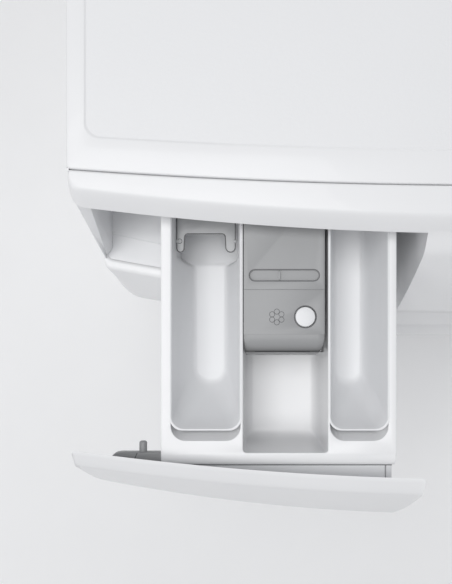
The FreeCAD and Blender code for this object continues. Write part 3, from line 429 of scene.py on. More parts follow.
WHITE = (0.86, 0.862, 0.868)
MAT = {
    "white_plastic": plastic("white_plastic", WHITE, 0.34, coat=0.15, vary=0.012),
    "inner_plastic": plastic("inner_plastic", (0.83, 0.835, 0.845), 0.4, vary=0.012),
    "insert_plastic": plastic("insert_plastic", (0.80, 0.805, 0.815), 0.36, vary=0.012),
    "white_enamel": orange_peel("white_enamel", WHITE, 160.0, 0.00006, 0.24),
    "textured_top": orange_peel("textured_top", (0.84, 0.843, 0.85)),
    "grey_plastic": plastic("grey_plastic", (0.335, 0.338, 0.342), 0.38),
    "bracket_plastic": plastic("bracket_plastic", (0.30, 0.303, 0.307), 0.4),
    "flap_plastic": plastic("flap_plastic", (0.40, 0.405, 0.41), 0.3),
    "pale_grey_plastic": plastic("pale_grey_plastic", (0.60, 0.60, 0.615), 0.4),
    "dark_plastic": plastic("dark_plastic", (0.018, 0.019, 0.021), 0.42),
    "tub_plastic": plastic("tub_plastic", (0.40, 0.41, 0.40), 0.55, 300.0, 0.00012, 0.08),
    "galvanised": galvanised("galvanised"),
    "stainless": metal("stainless", (0.62, 0.62, 0.63), 0.28, (1, 14, 1)),
    "chrome": metal("chrome", (0.75, 0.76, 0.77), 0.1, (1, 1, 1), 60.0, 0.000004),
    "cast_metal": metal("cast_metal", (0.42, 0.42, 0.43), 0.5, (1, 1, 1), 300.0, 0.00012),
    "black_steel": metal("black_steel", (0.05, 0.05, 0.055), 0.5),
    "concrete": concrete("concrete"),
    "rubber": rubber("rubber", (0.10, 0.105, 0.11)),
    "black_rubber": rubber("black_rubber", (0.012, 0.012, 0.013)),
    "window_glass": glass("window_glass", (0.80, 0.84, 0.86)),
    "lens": glass("lens", (0.02, 0.022, 0.025), 0.06),
    # Near-black painted shade, laid as thin strips over gaps, edges and joints where shadow falls.
    "gap_painted_shade": plastic("gap_painted_shade", (0.05, 0.05, 0.055), 0.6),
    "groove_grey": plastic("groove_grey", (0.12, 0.12, 0.125), 0.5),
}
MAT["lens"].node_tree.nodes["Principled BSDF"].inputs["Transmission Weight"].default_value = 0.0

SLOT_MATERIAL = {
    "white_enamel": "white_enamel", "white_plastic": "white_plastic",
    "textured_top": "textured_top", "insert_plastic": "insert_plastic",
    "grey_plastic": "grey_plastic", "pale_grey_plastic": "pale_grey_plastic",
    "dark_plastic": "dark_plastic", "tub_plastic": "tub_plastic",
    "galvanised_steel": "galvanised", "stainless_steel": "stainless", "chrome": "chrome",
    "cast_metal": "cast_metal", "concrete": "concrete", "black_steel": "black_steel",
    "rubber": "rubber", "black_rubber": "black_rubber", "window_glass": "window_glass",
    "lens": "lens", "brass": "cast_metal",
}


def dress_cad_nodes():
    """Every carried-over CAD node gets the procedural material of its slot."""
    for row in frame["record"]["subparts"]:
        piece = frame["nodes"][row["node"]]
        piece.data.materials.clear()
        piece.data.materials.append(MAT[SLOT_MATERIAL[row["material_slot"]]])


# ---------------------------------------------------------------- bowed outlines

def front_line(front, bow, half, corner, back, steps=72, corner_steps=10):
    """Open plan line: left side from the back, round the front, right side."""
    centre_y = front + bow
    inset, reach = half - corner, bow - corner
    corner_y = centre_y - math.sqrt(reach * reach - inset * inset)
    slope = math.asin(inset / reach)
    right = []
    for s in range(steps // 2 + 1):
        turn = slope * s / (steps // 2)
        right.append((bow * math.sin(turn), centre_y - bow * math.cos(turn)))
    for s in range(1, corner_steps + 1):
        turn = slope + (math.pi / 2 - slope) * s / corner_steps
        right.append((inset + corner * math.sin(turn), corner_y - corner * math.cos(turn)))
    for s in (0.35, 0.7, 1.0):
        right.append((half, corner_y + (back - corner_y) * s))
    left = [(-x, y) for x, y in reversed(right[1:])]
    return left + right


def spaced(low, high, count):
    return [low + (high - low) * i / (count - 1) for i in range(count)]


def at(x, y, drop):
    """A point from millimetres across, along and below the worktop."""
    return Vector((x * MM, y * MM, TOP - drop * MM))


def half_line(front, bow, half, corner, back, start, steps=56, corner_steps=10):
    """Plan points (mm) of a bowed front from x=start round the right corner to the back."""
    centre_y = front + bow
    inset, reach = half - corner, bow - corner
    corner_y = centre_y - math.sqrt(reach * reach - inset * inset)
    slope = math.asin(inset / reach)
    first = math.asin(start / bow)
    out = []
    for turn in spaced(first, slope, steps):
        out.append((bow * math.sin(turn), centre_y - bow * math.cos(turn)))
    for turn in spaced(slope, math.pi / 2, corner_steps)[1:]:
        out.append((inset + corner * math.sin(turn), corner_y - corner * math.cos(turn)))
    for share in (0.5, 1.0):
        out.append((half, corner_y + (back - corner_y) * share))
    return out


def ring_points(level, part):
    """One console outline: drop, front, bow, narrower, corner, back -> points."""
    drop, front, bow, narrower, corner, back = level
    half = HALF / MM - narrower
    right = half_line(front, bow, half, corner, back, BAY_RIGHT)
    left = [(-x, y) for x, y in reversed(half_line(front, bow, half, corner, back, -BAY_RIGHT))]
    chosen = {"left": left, "right": right, "full": left + right[1:]}[part]
    return [at(x, y, drop) for x, y in chosen]


SIDE_BACK = -165.5  # the skin stops just ahead of the side panels

# Outlines from the seam to the nose: drop, front, bow, narrower, corner, back (mm)
CAP_LEVELS = (
    (19.6, -182.4, 4650, 0.0, 1.5, -168.0),
    (1.4, -182.4, 4650, 0.0, 1.5, -168.0),
    (0.5, -182.7, 4650, 0.1, 1.5, -168.1),
    (0.05, -183.4, 4650, 0.5, 1.6, -168.4),
    (0.0, -184.4, 4600, 1.6, 2.0, -168.7),
    (0.0, -195.0, 3000, 2.2, 5.0, -168.8),
    (0.0, -203.4, 2680, 2.4, 9.0, -168.8),
    (0.35, -205.0, 2670, 1.8, 10.0, -168.8),
    (1.1, -206.5, 2665, 1.2, 10.5, -168.8),
    (2.2, -208.0, 2660, 0.8, 11.0, -168.8),
    (6.0, -211.8, 2655, 0.3, 12.0, -168.8),
    (10.6, -216.1, 2650, 0.0, 12.0, -168.8),
    (12.1, -217.4, 2650, 0.0, 12.0, -168.8),
)
NOSE_LEVELS = (
    (12.1, -217.4, 2650, 0.0, 12.0, -168.8),
    (12.7, -217.9, 2650, 0.1, 12.0, -168.8),
    (13.2, -217.7, 2650, 0.4, 12.0, -168.8),
    (13.6, -216.9, 2650, 1.0, 12.0, -168.8),
    (14.0, -215.5, 2650, 2.0, 12.0, -168.8),
    (15.0, -212.0, 2650, 3.4, 12.0, -168.8),
    (22.0, -204.5, 2650, 5.0, 12.0, -168.8),
)


def fascia_levels():
    """Right of the drawer the same skin runs on down to the chin."""
    rows = [(12.1, -217.4, 2650, 0.0, 12.0, -168.8), (16.0, -223.2, 2550, 0.0, 12.0, SIDE_BACK),
            (20.0, -229.0, 2410, 0.0, 12.0, SIDE_BACK), (22.6, -232.2, 2335, 0.0, 12.0, SIDE_BACK)]
    for share in spaced(0.02, 1.0, 14):
        drop = FASCIA_HEAD + (FASCIA_FOOT - FASCIA_HEAD) * share
        front = -233.9 - 44.1 * share - BULGE * math.sin(math.pi * share)
        rows.append((drop, front, 2312 - 517 * share, 0.0, 12.0 - 2.0 * share, SIDE_BACK))
    rows += [(117.4, -277.4, 1795, 0.1, 10.0, SIDE_BACK), (118.0, -275.5, 1795, 0.3, 9.6, SIDE_BACK),
             (118.2, -266.9, 1780, 0.3, 9.0, SIDE_BACK)]
    return rows


LEDGE_LEVELS = (
    (118.5, -256.2, 1780, 2.6, 8.0, SIDE_BACK),
    (117.3, -257.4, 1780, 1.6, 8.0, SIDE_BACK),
    (116.9, -259.0, 1780, 0.9, 8.0, SIDE_BACK),
    (117.0, -262.5, 1780, 0.4, 8.0, SIDE_BACK),
    (117.6, -265.0, 1780, 0.1, 8.0, SIDE_BACK),
    (118.8, -266.4, 1780, 0.0, 8.2, SIDE_BACK),
    (120.5, -267.1, 1780, 0.0, 8.5, SIDE_BACK),
)
CHIN_LEVELS = (
    (122.0, -267.7, 1780, 0.0, 9.0, SIDE_BACK),
    (128.0, -270.1, 1770, 0.0, 12.0, SIDE_BACK),
    (135.0, -272.9, 1760, 0.0, 16.0, SIDE_BACK),
    (143.0, -276.2, 1750, 0.0, 20.0, SIDE_BACK),
    (150.0, -279.0, 1740, 0.0, 23.0, SIDE_BACK),
    (158.0, -282.0, 1730, 0.0, 25.0, SIDE_BACK),
    (166.0, -284.7, 1720, 0.0, 27.0, SIDE_BACK),
    (174.0, -287.0, 1710, 0.0, 29.0, SIDE_BACK),
    (181.0, -288.3, 1704, 0.0, 30.0, SIDE_BACK),
    (185.0, -288.5, 1700, 0.1, 30.0, SIDE_BACK),
    (189.5, -287.9, 1700, 0.5, 30.5, SIDE_BACK),
    (193.5, -286.0, 1700, 1.2, 31.0, SIDE_BACK),
    (197.0, -282.4, 1700, 2.4, 33.0, SIDE_BACK),
    (199.2, -277.5, 1700, 4.0, 35.0, SIDE_BACK),
    (200.0, -271.0, 1700, 6.5, 37.0, SIDE_BACK),
    (200.0, -235.0, 1700, 20.0, 40.0, SIDE_BACK),
)


def cheek_lines(drop):
    """Side wall of the bay at one height: side face, cheek face, inner wall (mm)."""
    share = max((drop - 16.0) / 102.0, 0.0)
    outer_y = -191.5 - 33.0 * share
    inner_x, inner_y = -328.0 - 12.3 * share, -196.9 - 24.0 * share
    wall_x = -327.0 - 8.0 * share
    foot_y = inner_y + 6.5
    rest = 1.0 - share
    return [(-343.0, SIDE_BACK), (-343.0, -175.0), (-343.0, outer_y + 4.0 + 3.0 * rest),
            (-342.6, outer_y + 1.6 + 2.3 * rest), (-341.5, outer_y + 0.3 + rest),
            (-340.7 + 1.2 * rest, outer_y - 1.0 * rest),
            (inner_x - 0.9, inner_y + 0.3), (inner_x, inner_y),
            (inner_x + 0.6, inner_y + 0.9), (wall_x - 0.8, foot_y), (wall_x, foot_y + 4),
            (wall_x, -180.0), (wall_x, BAY_BACK)]


def make_console():
    skin = Builder()
    skin.grid([ring_points(level, "full") for level in CAP_LEVELS])
    skin.grid([ring_points(level, "left") for level in NOSE_LEVELS])
    skin.grid([ring_points(level, "right") for level in fascia_levels()])
    skin.grid([ring_points(fascia_levels()[-1], "right"), ring_points(CHIN_LEVELS[0], "right")])
    skin.grid([ring_points(level, "left") for level in LEDGE_LEVELS])
    skin.grid([ring_points(LEDGE_LEVELS[-1], "left"), ring_points(CHIN_LEVELS[0], "left")])
    skin.grid([ring_points(level, "full") for level in CHIN_LEVELS])
    skin.make("console_skin", "white_plastic", "cabinet", "white_plastic", ("console",), 40.0)
    bay = Builder()
    side = [[at(x, y, drop) for x, y in cheek_lines(drop)] for drop in
            (12.5, 16.0, 22.0, 35.0, 50.0, 65.0, 80.0, 95.0, 108.0, 114.0, 118.4)]
    bay.grid(side)
    bay_floor(bay)
    bay_walls(bay)
    bay.make("console_drawer_bay", "inner_plastic", "cabinet", "white_plastic", (), 40.0)


def bay_floor(bay):
    """Sloping floor with one low step parallel to the ledge."""
    xs = spaced(-340.0, BAY_RIGHT, 60)

    def line(front, drop, bow=STEP_BOW):
        out = []
        for x in xs:
            wall = min(max(x, -336.0 if front > -240 else x), BAY_RIGHT)
            out.append(at(wall, arc_y(front, bow, wall), drop))
        return out

    rows = [line(-256.0, 118.55, 1780.0), line(-250.0, 118.8, 1650.0), line(-238.1, 118.3),
            line(-237.3, 118.0), line(-236.5, 116.6), line(-235.6, 116.4), line(-225.0, 116.0)]
    back = [at(max(x, -336.0), BAY_BACK, 115.0) for x in xs]
    bay.grid(rows + [back])


def bay_walls(bay):
    """Partition beside the controls, rear wall round the drawer's mouth, ceiling."""
    split = BAY_RIGHT
    profile = [(12.1, -217.4), (16.0, -223.0), (22.6, -231.9)]
    for share in spaced(0.02, 1.0, 14):
        drop = FASCIA_HEAD + (FASCIA_FOOT - FASCIA_HEAD) * share
        profile.append((drop, -233.7 - 44.0 * share - BULGE * math.sin(math.pi * share)))
    profile += [(117.4, -277.1), (118.0, -275.2), (118.5, -266.0)]
    front = [at(split, y + 0.6, drop) for drop, y in profile]
    back = [at(split, BAY_BACK, drop) for drop, y in profile]
    bay.strip(front, back)
    rear = BAY_BACK
    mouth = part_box("drawer_box")
    left, right = mouth[0].x / MM - 2.5, mouth[1].x / MM + 2.5
    low, high = (TOP - mouth[0].z) / MM + 2.5, (TOP - mouth[1].z) / MM - 3.5
    for x0, x1, d0, d1 in ((-337, left, 16, 119), (right, split, 16, 119),
                           (left, right, 16, high), (left, right, low, 119)):
        bay.strip([at(x0, rear, d0), at(x1, rear, d0)], [at(x0, rear, d1), at(x1, rear, d1)])
    xs = spaced(-337.0, split, 24)
    bay.strip([at(x, arc_y(-204.5, 2650.0, x), 22) for x in xs], [at(x, rear, 22) for x in xs])


def make_worktop():
    """Bordered lid with a softly sunken pebbled field."""
    low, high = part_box("worktop")
    top = high.z
    back = high.y / MM
    half = high.x / MM

    def ring(z, front, bow, inset, corner, rear_corner, rear):
        line = front_line(front, bow, half - inset, corner, rear - rear_corner, 64)
        right = half - inset
        turns = spaced(0, math.pi / 2, 8)[1:]
        rear_right = [(right - rear_corner + rear_corner * math.cos(t),
                       rear - rear_corner + rear_corner * math.sin(t)) for t in turns]
        rear_left = [(-x, y) for x, y in reversed(rear_right)]
        return level_ring(line + rear_right + rear_left, z)

    rings = [
        ring(low.z, -181.5, 4650, 0.0, 2.0, 3.0, back),
        ring(top - 1.6 * MM, -181.5, 4650, 0.0, 2.0, 3.0, back),
        ring(top - 0.7 * MM, -181.3, 4650, 0.25, 2.4, 3.2, back - 0.3),
        ring(top - 0.15 * MM, -180.8, 4650, 0.8, 2.8, 3.6, back - 0.8),
        ring(top, -180.0, 4650, 1.6, 3.0, 4.0, back - 1.6),
        ring(top, -155.8, 4950, 14.0, 12.0, 12.0, back - 28.5),
        ring(top - 0.12 * MM, -155.1, 4960, 14.5, 12.0, 12.0, back - 29.0),
        ring(top - 0.75 * MM, -154.3, 4980, 15.2, 12.0, 12.0, back - 29.7),
        ring(top - 0.9 * MM, -153.4, 5000, 16.0, 12.0, 12.0, back - 30.5),
    ]
    border = Builder().grid(rings, closed=True)
    border.make("worktop_border", "white_plastic", "cabinet", "textured_top",
                ("worktop",), 50.0)
    inner = rings[-1]
    sunk = [p + Vector((0, 0, -0.00001)) + (Vector((0, 0.12, p.z)) - p) * 0.02 for p in inner]
    field = Builder().grid([inner, sunk], closed=True).fan(sunk)
    field.make("worktop_field", "textured_top", "cabinet", "textured_top", (), 50.0)


# ---------------------------------------------------------------- drawer

def plate_profile(x, inset=0.0):
    """Closed section of the drawer front at x, pulled out (mm: y, drop)."""
    ridge, head, foot = (arc_y(*line, x) - TRAVEL
                         for line in (RIDGE_LINE, FASCIA_HEAD_LINE, FASCIA_FOOT_LINE))
    rows = [(ridge - 0.2, 14.2)]
    for share in (0.06, 0.3, 0.6, 0.88):
        rows.append((ridge + (head - ridge) * share, 14.0 + 10.0 * share - 0.4))
    rows.append((head - 0.15, 24.2))
    rows.append((head - 0.9, 25.2))
    for share in spaced(0.04, 0.975, 14):
        rows.append((head + (foot - head) * share - BULGE * math.sin(math.pi * share),
                     24.0 + 91.0 * share))
    rows += [(foot + 0.3, 114.4), (foot + 1.4, 115.0), (foot + 9.6, 115.0), (foot + 10.8, 114.4)]
    for share in spaced(0.06, 0.985, 8):
        rows.append((foot + 11.0 + (ridge - foot - 11.0) * share, 114.0 - 99.0 * share))
    if inset:
        middle_y = sum(y for y, _ in rows) / len(rows)
        middle_drop = sum(drop for _, drop in rows) / len(rows)
        rows = [(y + (middle_y - y) * inset * 0.12, drop + (middle_drop - drop) * inset * 0.02)
                for y, drop in rows]
    return [at(x, y, drop) for y, drop in rows]


def make_drawer_front():
    left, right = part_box("drawer_front")[0].x / MM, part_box("drawer_front")[1].x / MM
    sections = [plate_profile(left, 1.0), plate_profile(left + 0.3, 0.5),
                plate_profile(left + 1.2, 0.15)]
    sections += [plate_profile(x) for x in spaced(left + 2.6, right - 2.0, 60)]
    sections += [plate_profile(right - 0.8, 0.15), plate_profile(right - 0.2, 0.5),
                 plate_profile(right, 1.0)]
    Builder().solid(sections).make("drawer_front_skin", "white_plastic", "drawer",
                                   "white_plastic", ("drawer_front",), 38.0)


def filled_outline(name, outer, holes, top, thick, edge):
    """A flat plate with holes and rounded edges; only its top is in metres."""
    curve = bpy.data.curves.new(name, "CURVE")
    curve.dimensions = "2D"
    curve.fill_mode = "BOTH"
    curve.extrude = (thick / 2 - edge) * MM
    curve.bevel_depth = edge * MM
    curve.bevel_resolution = 2
    for is_hole, outline in [(False, outer)] + [(True, hole) for hole in holes]:
        moved = scaled_to(outline, -edge if is_hole else edge)
        spline = curve.splines.new("POLY")
        spline.points.add(len(moved) - 1)
        for point, (x, y) in zip(spline.points, moved):
            point.co = (x * MM, y * MM, 0, 1)
        spline.use_cyclic_u = True
    holder = bpy.data.objects.new(name, curve)
    mesh = bpy.data.meshes.new_from_object(holder)
    bpy.data.objects.remove(holder)
    work = bmesh.new()
    work.from_mesh(mesh)
    bpy.data.meshes.remove(mesh)
    bmesh.ops.translate(work, vec=(0, 0, top - thick / 2 * MM), verts=work.verts)
    bmesh.ops.remove_doubles(work, verts=work.verts, dist=1e-6)
    return work


WELLS = {"left": (-264.5, -206.1, -388.7, 12.0), "middle": (-204.0, -132.4, -399.0, 3.0),
         "right": (-130.6, -81.8, -388.7, 12.0)}
WELL_BACK = -168.0


def make_drawer_box():
    """Tray with three wells under one smooth rim."""
    low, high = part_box("drawer_box")
    rim = high.z
    left, right, back = low.x / MM, high.x / MM, high.y / MM
    front = -410.2
    holes = [rounded_rectangle(a, b, y, WELL_BACK, (c, 3.0)) for a, b, y, c in WELLS.values()]
    tray = Builder()
    plate = rounded_rectangle(left, right, front + 8.5, back, (1.5, 2.0))
    tray.absorb(filled_outline("drawer_rim", plate, holes, rim, 2.4, 0.7))
    shell = []
    for drop, near, side in ((0.02, 9.6, 0.75), (0.03, 8.4, 0.7), (0.5, 6.0, 0.1), (1.4, 3.5, 0.0),
                             (2.8, 1.5, 0.0), (4.5, 0.4, 0.0), (7.0, 0.0, 0.0), (40.0, 0.0, 0.0),
                             (72.0, 0.8, 0.8), (76.0, 2.2, 2.2), (78.0, 5.0, 5.0)):
        outline = rounded_rectangle(left + side, right - side, front + near, back - side,
                                    (2.0, 2.0))
        shell.append(level_ring(outline, rim - drop * MM))
    tray.grid(shell, closed=True).fan(shell[-1])
    for label, (a, b, y, c) in WELLS.items():
        rings = []
        slope = 0.0 if label == "middle" else 1.0
        for drop, inset, near in ((1.4, 0.0, 0.0), (9.0, 0.15, 4.0), (18.0, 0.25, 7.6),
                                  (30.0, 0.3, 8.4), (52.0, 0.8, 8.4), (59.0, 1.6, 8.4),
                                  (63.0, 3.2, 8.4), (65.2, 5.6, 8.4), (66.0, 9.0, 8.4)):
            front_y = y + inset + near * slope
            outline = rounded_rectangle(a + inset, b - inset, front_y, WELL_BACK - inset,
                                        (max(c - inset * 0.3, 2.6), 3.0))
            rings.append(level_ring(outline, rim - drop * MM))
        tray.grid(rings, closed=True).fan(rings[-1])
    tray.make("drawer_tray", "white_plastic", "drawer", "white_plastic", ("drawer_box",), 42.0)


SWING_ROOM = (-237.0, -235.2, -233.4, -231.6, -229.8, -228.0)


def with_swing_room(outline, middle, side, wide):
    """The same outline, opened out behind the trough so that the flap can swing down."""
    full = []
    for start, end in zip(outline, outline[1:] + outline[:1]):
        full.append(start)
        low, high = min(start[1], end[1]), max(start[1], end[1])
        between = [y for y in SWING_ROOM if low < y < high]
        for y in between if start[1] < end[1] else reversed(between):
            share = (y - start[1]) / (end[1] - start[1])
            full.append((start[0] + (end[0] - start[0]) * share, y))
    first, last = SWING_ROOM[0], SWING_ROOM[-1]
    widest = (wide / 2 - min(side, 1.5)) / (wide / 2 - side)
    out = []
    for x, y in full:
        share = min(max((y - first) / (last - first), 0.0), 1.0)
        share = share * share * (3.0 - 2.0 * share)
        out.append((middle + (x - middle) * (1.0 + (widest - 1.0) * share), y))
    return out


def make_cup(name, node, well):
    """Pull-out insert: a smooth trough with a rolled front lip."""
    left, right, _, _ = WELLS[well]
    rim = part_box("drawer_box")[1].z
    left, right = left + 0.5, right - 0.5
    back = WELL_BACK - 0.5
    front = -380.2
    wide = right - left
    rows = [(-58.0, 2.5, 7.0, 2.0), (-30.0, 0.5, 2.5, 0.4), (-3.2, 0.0, 0.6, 0.0),
            (-0.4, 0.0, 0.0, 0.0), (0.02, -1.5, -0.1, -0.6), (0.2, -1.45, 0.0, -0.5),
            (0.28, -1.1, 0.3, -0.2), (0.26, -0.7, 0.8, 0.3), (0.0, -0.35, 1.4, 0.9),
            (-2.2, 0.2, 2.3, 1.7), (-14.0, 0.028 * wide, 7.5, 3.0),
            (-19.0, 0.034 * wide, 10.3, 3.6),
            (-28.0, 0.078 * wide, 15.5, 5.0), (-40.0, 0.13 * wide, 23.0, 9.0),
            (-48.0, 0.175 * wide, 29.0, 14.0), (-53.0, 0.215 * wide, 33.0, 18.0),
            (-55.4, 0.25 * wide, 36.5, 22.0), (-56.0, 0.29 * wide, 40.0, 26.0)]
    rings = []
    for up, side, near, far in rows:
        corner = max(2.0, min(10.5 + near * 0.25, wide / 2 - side - 1.0))
        rear_corner = min(max(3.0, far * 0.5), wide / 2 - side - 1.0)
        outline = rounded_rectangle(left + side, right - side, front + near, back - far,
                                    (corner, rear_corner), 10)
        if well == "left":
            outline = with_swing_room(outline, (left + right) / 2, side, wide)
        rings.append(level_ring(outline, rim + up * MM))
    Builder().solid(rings).make(name, "insert_plastic", "drawer", "insert_plastic", (node,), 42.0)


# Softener lid: middle of the finger slot, its half length and radius, middle of the dome (mm)
SLOT, SLOT_SIZE, DOME = (-169.3, -250.0), (29.4, 4.8), (-151.6, -284.8)
FLOWER = (-175.6, -284.9)
ROLL_DEEP = 17.0


def make_siphon_cover():
    """Softener lid: flat top, finger slot, siphon dome and rolled front."""
    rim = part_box("drawer_box")[1].z
    left, right, back = -203.4, -135.4, -171.0
    shoulder, front, step = -299.5, -317.4, -261.9
    top = rim + 1.5 * MM
    lid = Builder()
    slot = stadium(*SLOT, *SLOT_SIZE)
    rear = rounded_rectangle(left, right, step, back, (0.4, 2.0))
    lid.absorb(filled_outline("lid_rear", rear, [slot], top, 2.0, 0.35))
    lower = top - 0.7 * MM
    near = rounded_rectangle(left, right, shoulder, step - 0.02, (0.2, 0.2))
    lid.absorb(filled_outline("lid_front", near, [circle(*DOME, 9.3)], lower, 2.0, 0.12))
    roll = []
    for turn in spaced(0, 90, 12):
        angle = math.radians(turn)
        y = shoulder - (shoulder - front) * math.sin(angle)
        z = lower - ROLL_DEEP * MM * (1 - math.cos(angle))
        inset = 5.6 * (math.sin(angle) ** 3)
        x0, x1 = left + inset * 0.35, right - inset
        row = [(x0, y, z - 1.8 * MM), (x0 + 0.2, y, z - 0.6 * MM), (x0 + 1.0, y, z)]
        row += [(x, y, z) for x in spaced(x0 + 6, x1 - 6, 8)]
        row += [(x1 - 1.0, y, z), (x1 - 0.2, y, z - 0.6 * MM), (x1, y, z - 1.8 * MM)]
        roll.append([Vector((x * MM, y_ * MM, z_)) for x, y_, z_ in row])
    foot = [p + Vector((0, 0, -0.012)) for p in roll[-1]]
    lid.grid(roll + [foot])
    skirt = level_ring(rounded_rectangle(left + 0.4, right - 0.4, front + 3, back - 0.4, 1.5),
                       top - 1.4 * MM)
    lid.strip(skirt, [p + Vector((0, 0, -0.018)) for p in skirt], closed=True)
    long, radius = SLOT_SIZE
    pocket = [level_ring(stadium(*SLOT, long - shrink, radius - shrink), top - drop * MM)
              for drop, shrink in ((0.3, 0.0), (1.2, 0.25), (1.7, 0.8))]
    lid.grid(pocket, closed=True).fan(pocket[-1])
    lid.block(at_xyz(-174.4, -253.6, top / MM - 1.7), at_xyz(-172.4, -246.4, top / MM - 0.5),
              0.0003)
    lid.make("siphon_cover_lid", "grey_plastic", "drawer", "grey_plastic",
             ("softener_siphon_cover",), 38.0)
    make_siphon_details(top, lower, shoulder, front)


def at_xyz(x, y, z):
    return Vector((x * MM, y * MM, z * MM))


def stadium(x, y, half_long, radius, steps=10):
    out = []
    reach = half_long - radius
    for centre, start in ((x + reach, -90), (x - reach, 90)):
        for s in range(steps + 1):
            turn = math.radians(start + 180 * s / steps)
            out.append((centre + radius * math.cos(turn), y + radius * math.sin(turn)))
    return out


def circle(x, y, radius, steps=40):
    return [(x + radius * math.cos(2 * math.pi * s / steps),
             y + radius * math.sin(2 * math.pi * s / steps)) for s in range(steps)]


def make_siphon_details(top, lower, shoulder, front):
    """Dark seams, pale siphon dome, flower mark and level line."""
    seam = Builder()
    line = []
    for turn in (53.0, 54.5, 56.0):
        angle = math.radians(turn)
        y = shoulder - (shoulder - front) * math.sin(angle) - 0.05
        z = lower / MM - ROLL_DEEP * (1 - math.cos(angle)) + 0.05
        line.append([at_xyz(x, y, z) for x in spaced(-193.8, -147.0, 6)])
    seam.grid(line)
    rings = [(stadium(*SLOT, *(size + 0.5 for size in SLOT_SIZE)), 0.75, top),
             (circle(*DOME, 9.7), 0.75, lower)]
    for petal in range(6):
        turn = math.radians(60 * petal + 30)
        x, y = FLOWER[0] + 4.5 * math.cos(turn), FLOWER[1] + 4.5 * math.sin(turn)
        rings.append((circle(x, y, 2.45, 20), 0.5, lower))
    for outline, wide, z in rings:
        seam.strip(level_ring(outline, z + 0.02 * MM),
                   level_ring(scaled_to(outline, wide), z + 0.02 * MM), closed=True)
    seam.make("siphon_cover_marks", "groove_grey", "drawer", "grey_plastic")
    dome = Builder()
    profile = [(8.6, -3.0), (8.5, -0.8), (8.0, -0.1), (6.5, 0.25), (3.5, 0.45), (0.01, 0.5)]
    dome.lathe(profile, 40, "Z", at_xyz(*DOME, lower / MM))
    dome.make("siphon_dome", "insert_plastic", "drawer", "insert_plastic")


FLAP_AXIS_Y = -218.4


def make_flap():
    """Thin smoky flap with a wide arch between two prongs."""
    low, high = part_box("detergent_flap")
    left, right = low.x / MM, high.x / MM
    rear, arch, tip = high.y / MM, -212.4, low.y / MM + 0.2
    wide_left, wide_right = 3.6, 4.6

    def bend(cx, cy, radius, start, end, steps=8):
        return [(cx + radius * math.cos(math.radians(a)), cy + radius * math.sin(math.radians(a)))
                for a in spaced(start, end, steps)]

    outline = bend(right - 1.2, rear - 1.2, 1.2, 0, 90, 4)
    outline += bend(left + 1.2, rear - 1.2, 1.2, 90, 180, 4)
    outline += bend(left + wide_left, tip + wide_left, wide_left, 180, 350)
    outline += bend(left + 2 * wide_left + 2.9, arch - 2.6, 2.6, 178, 90, 6)
    outline += bend(right - 2 * wide_right - 2.9, arch - 2.6, 2.6, 90, 2, 6)
    outline += bend(right - wide_right, tip + wide_right, wide_right, 190, 360)
    plate = Builder()
    middle = (low.z + high.z) / 2
    plate.absorb(filled_outline("flap_plate", outline, [], middle + 1.0 * MM, 2.0, 0.3))
    for x0, x1 in ((left + 0.05, left + 1.6), (right - 1.6, right - 0.05)):
        plate.lathe([(0.1, x0), (1.8, x0), (1.8, x1), (0.1, x1)], 24, "X",
                    (0, FLAP_AXIS_Y * MM, middle))
    plate.make("flap_plate", "flap_plastic", "flap", "grey_plastic",
               ("detergent_flap",), 40.0)
    # Painted shade: a dark band just inside the flap's outline and a dark ring round the hinge pin,
    # standing in for the shadow in the gap around the flap.
    rim = Builder()
    for line, start, end, up in ((outline, 0.15, 0.85, 1.02),
                                 (circle(left + 2.9, FLAP_AXIS_Y, 2.3, 24), 0.0, 0.5, 1.03)):
        rim.strip(level_ring(scaled_to(line, start), middle + up * MM),
                  level_ring(scaled_to(line, end), middle + up * MM), True)
    rim.make("flap_edge_painted_shade", "gap_painted_shade", "flap", "grey_plastic")


def plate_back(x, drop):
    """Back face of the pulled-out drawer front (mm)."""
    ridge = arc_y(*RIDGE_LINE, x) - TRAVEL
    foot = arc_y(-267.0, 1795.0, x) - TRAVEL
    return ridge + (foot - ridge) * (drop - 14.0) / 101.0 + 0.4


def block_behind_plate(builder, columns, low):
    """A solid behind the drawer front; columns are x, top drop and rear face y (mm)."""
    rings = []
    for x, top, rear in columns:
        front_top = plate_back(x, top)
        ring = [at(x, rear, low), at(x, rear, top + 0.7), at(x, rear - 0.7, top),
                at(x, (rear + front_top) / 2, top), at(x, front_top, top)]
        ring += [at(x, plate_back(x, drop), drop) for drop in spaced(top + 2, low, 5)]
        rings.append(ring)
    builder.solid(rings)


def make_bracket():
    """Latch bracket: rounded dark arm with a slanted joint and a locating pin; a painted shade line
    marks the joint.
    """
    low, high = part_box("drawer_latch_bracket")
    left, right = low.x / MM, high.x / MM
    top = (TOP - high.z) / MM
    rear, pin_x, pin_drop = -399.3, -289.1, top + 3.4
    pin_long = high.y / MM - rear
    columns = [(left + along, top + fall, rear - back) for along, fall, back in
               ((0.1, 1.6, 4.9), (0.6, 0.9, 3.7), (1.6, 0.4, 2.4), (3.2, 0.1, 1.2), (5.2, 0, 0.4),
                (8.0, 0, 0))]
    columns += [(x, top, rear) for x in spaced(left + 12, right, 8)]
    arm = Builder()
    block_behind_plate(arm, columns, top + 7)
    arm.lathe([(3.3, 0.0), (3.3, pin_long - 1.4), (2.9, pin_long - 0.5), (2.1, pin_long),
               (0.1, pin_long)], 32, "Y", at(pin_x, rear, pin_drop))
    arm.make("latch_bracket_arm", "bracket_plastic", "drawer", "grey_plastic",
             ("drawer_latch_bracket",), 40.0)
    # Painted shade: a thin dark strip along the slanted joint, standing in for the shadow in its
    # crevice.
    joint = Builder()
    rows = [(rear - 0.6, -293.6), (rear - 9.4, -297.4)]
    joint.strip([at(x - 0.35, y, top - 0.03) for y, x in rows],
                [at(x + 0.35, y, top - 0.03) for y, x in rows])
    joint.make("latch_bracket_joint_painted_shade", "gap_painted_shade", "drawer", "grey_plastic")


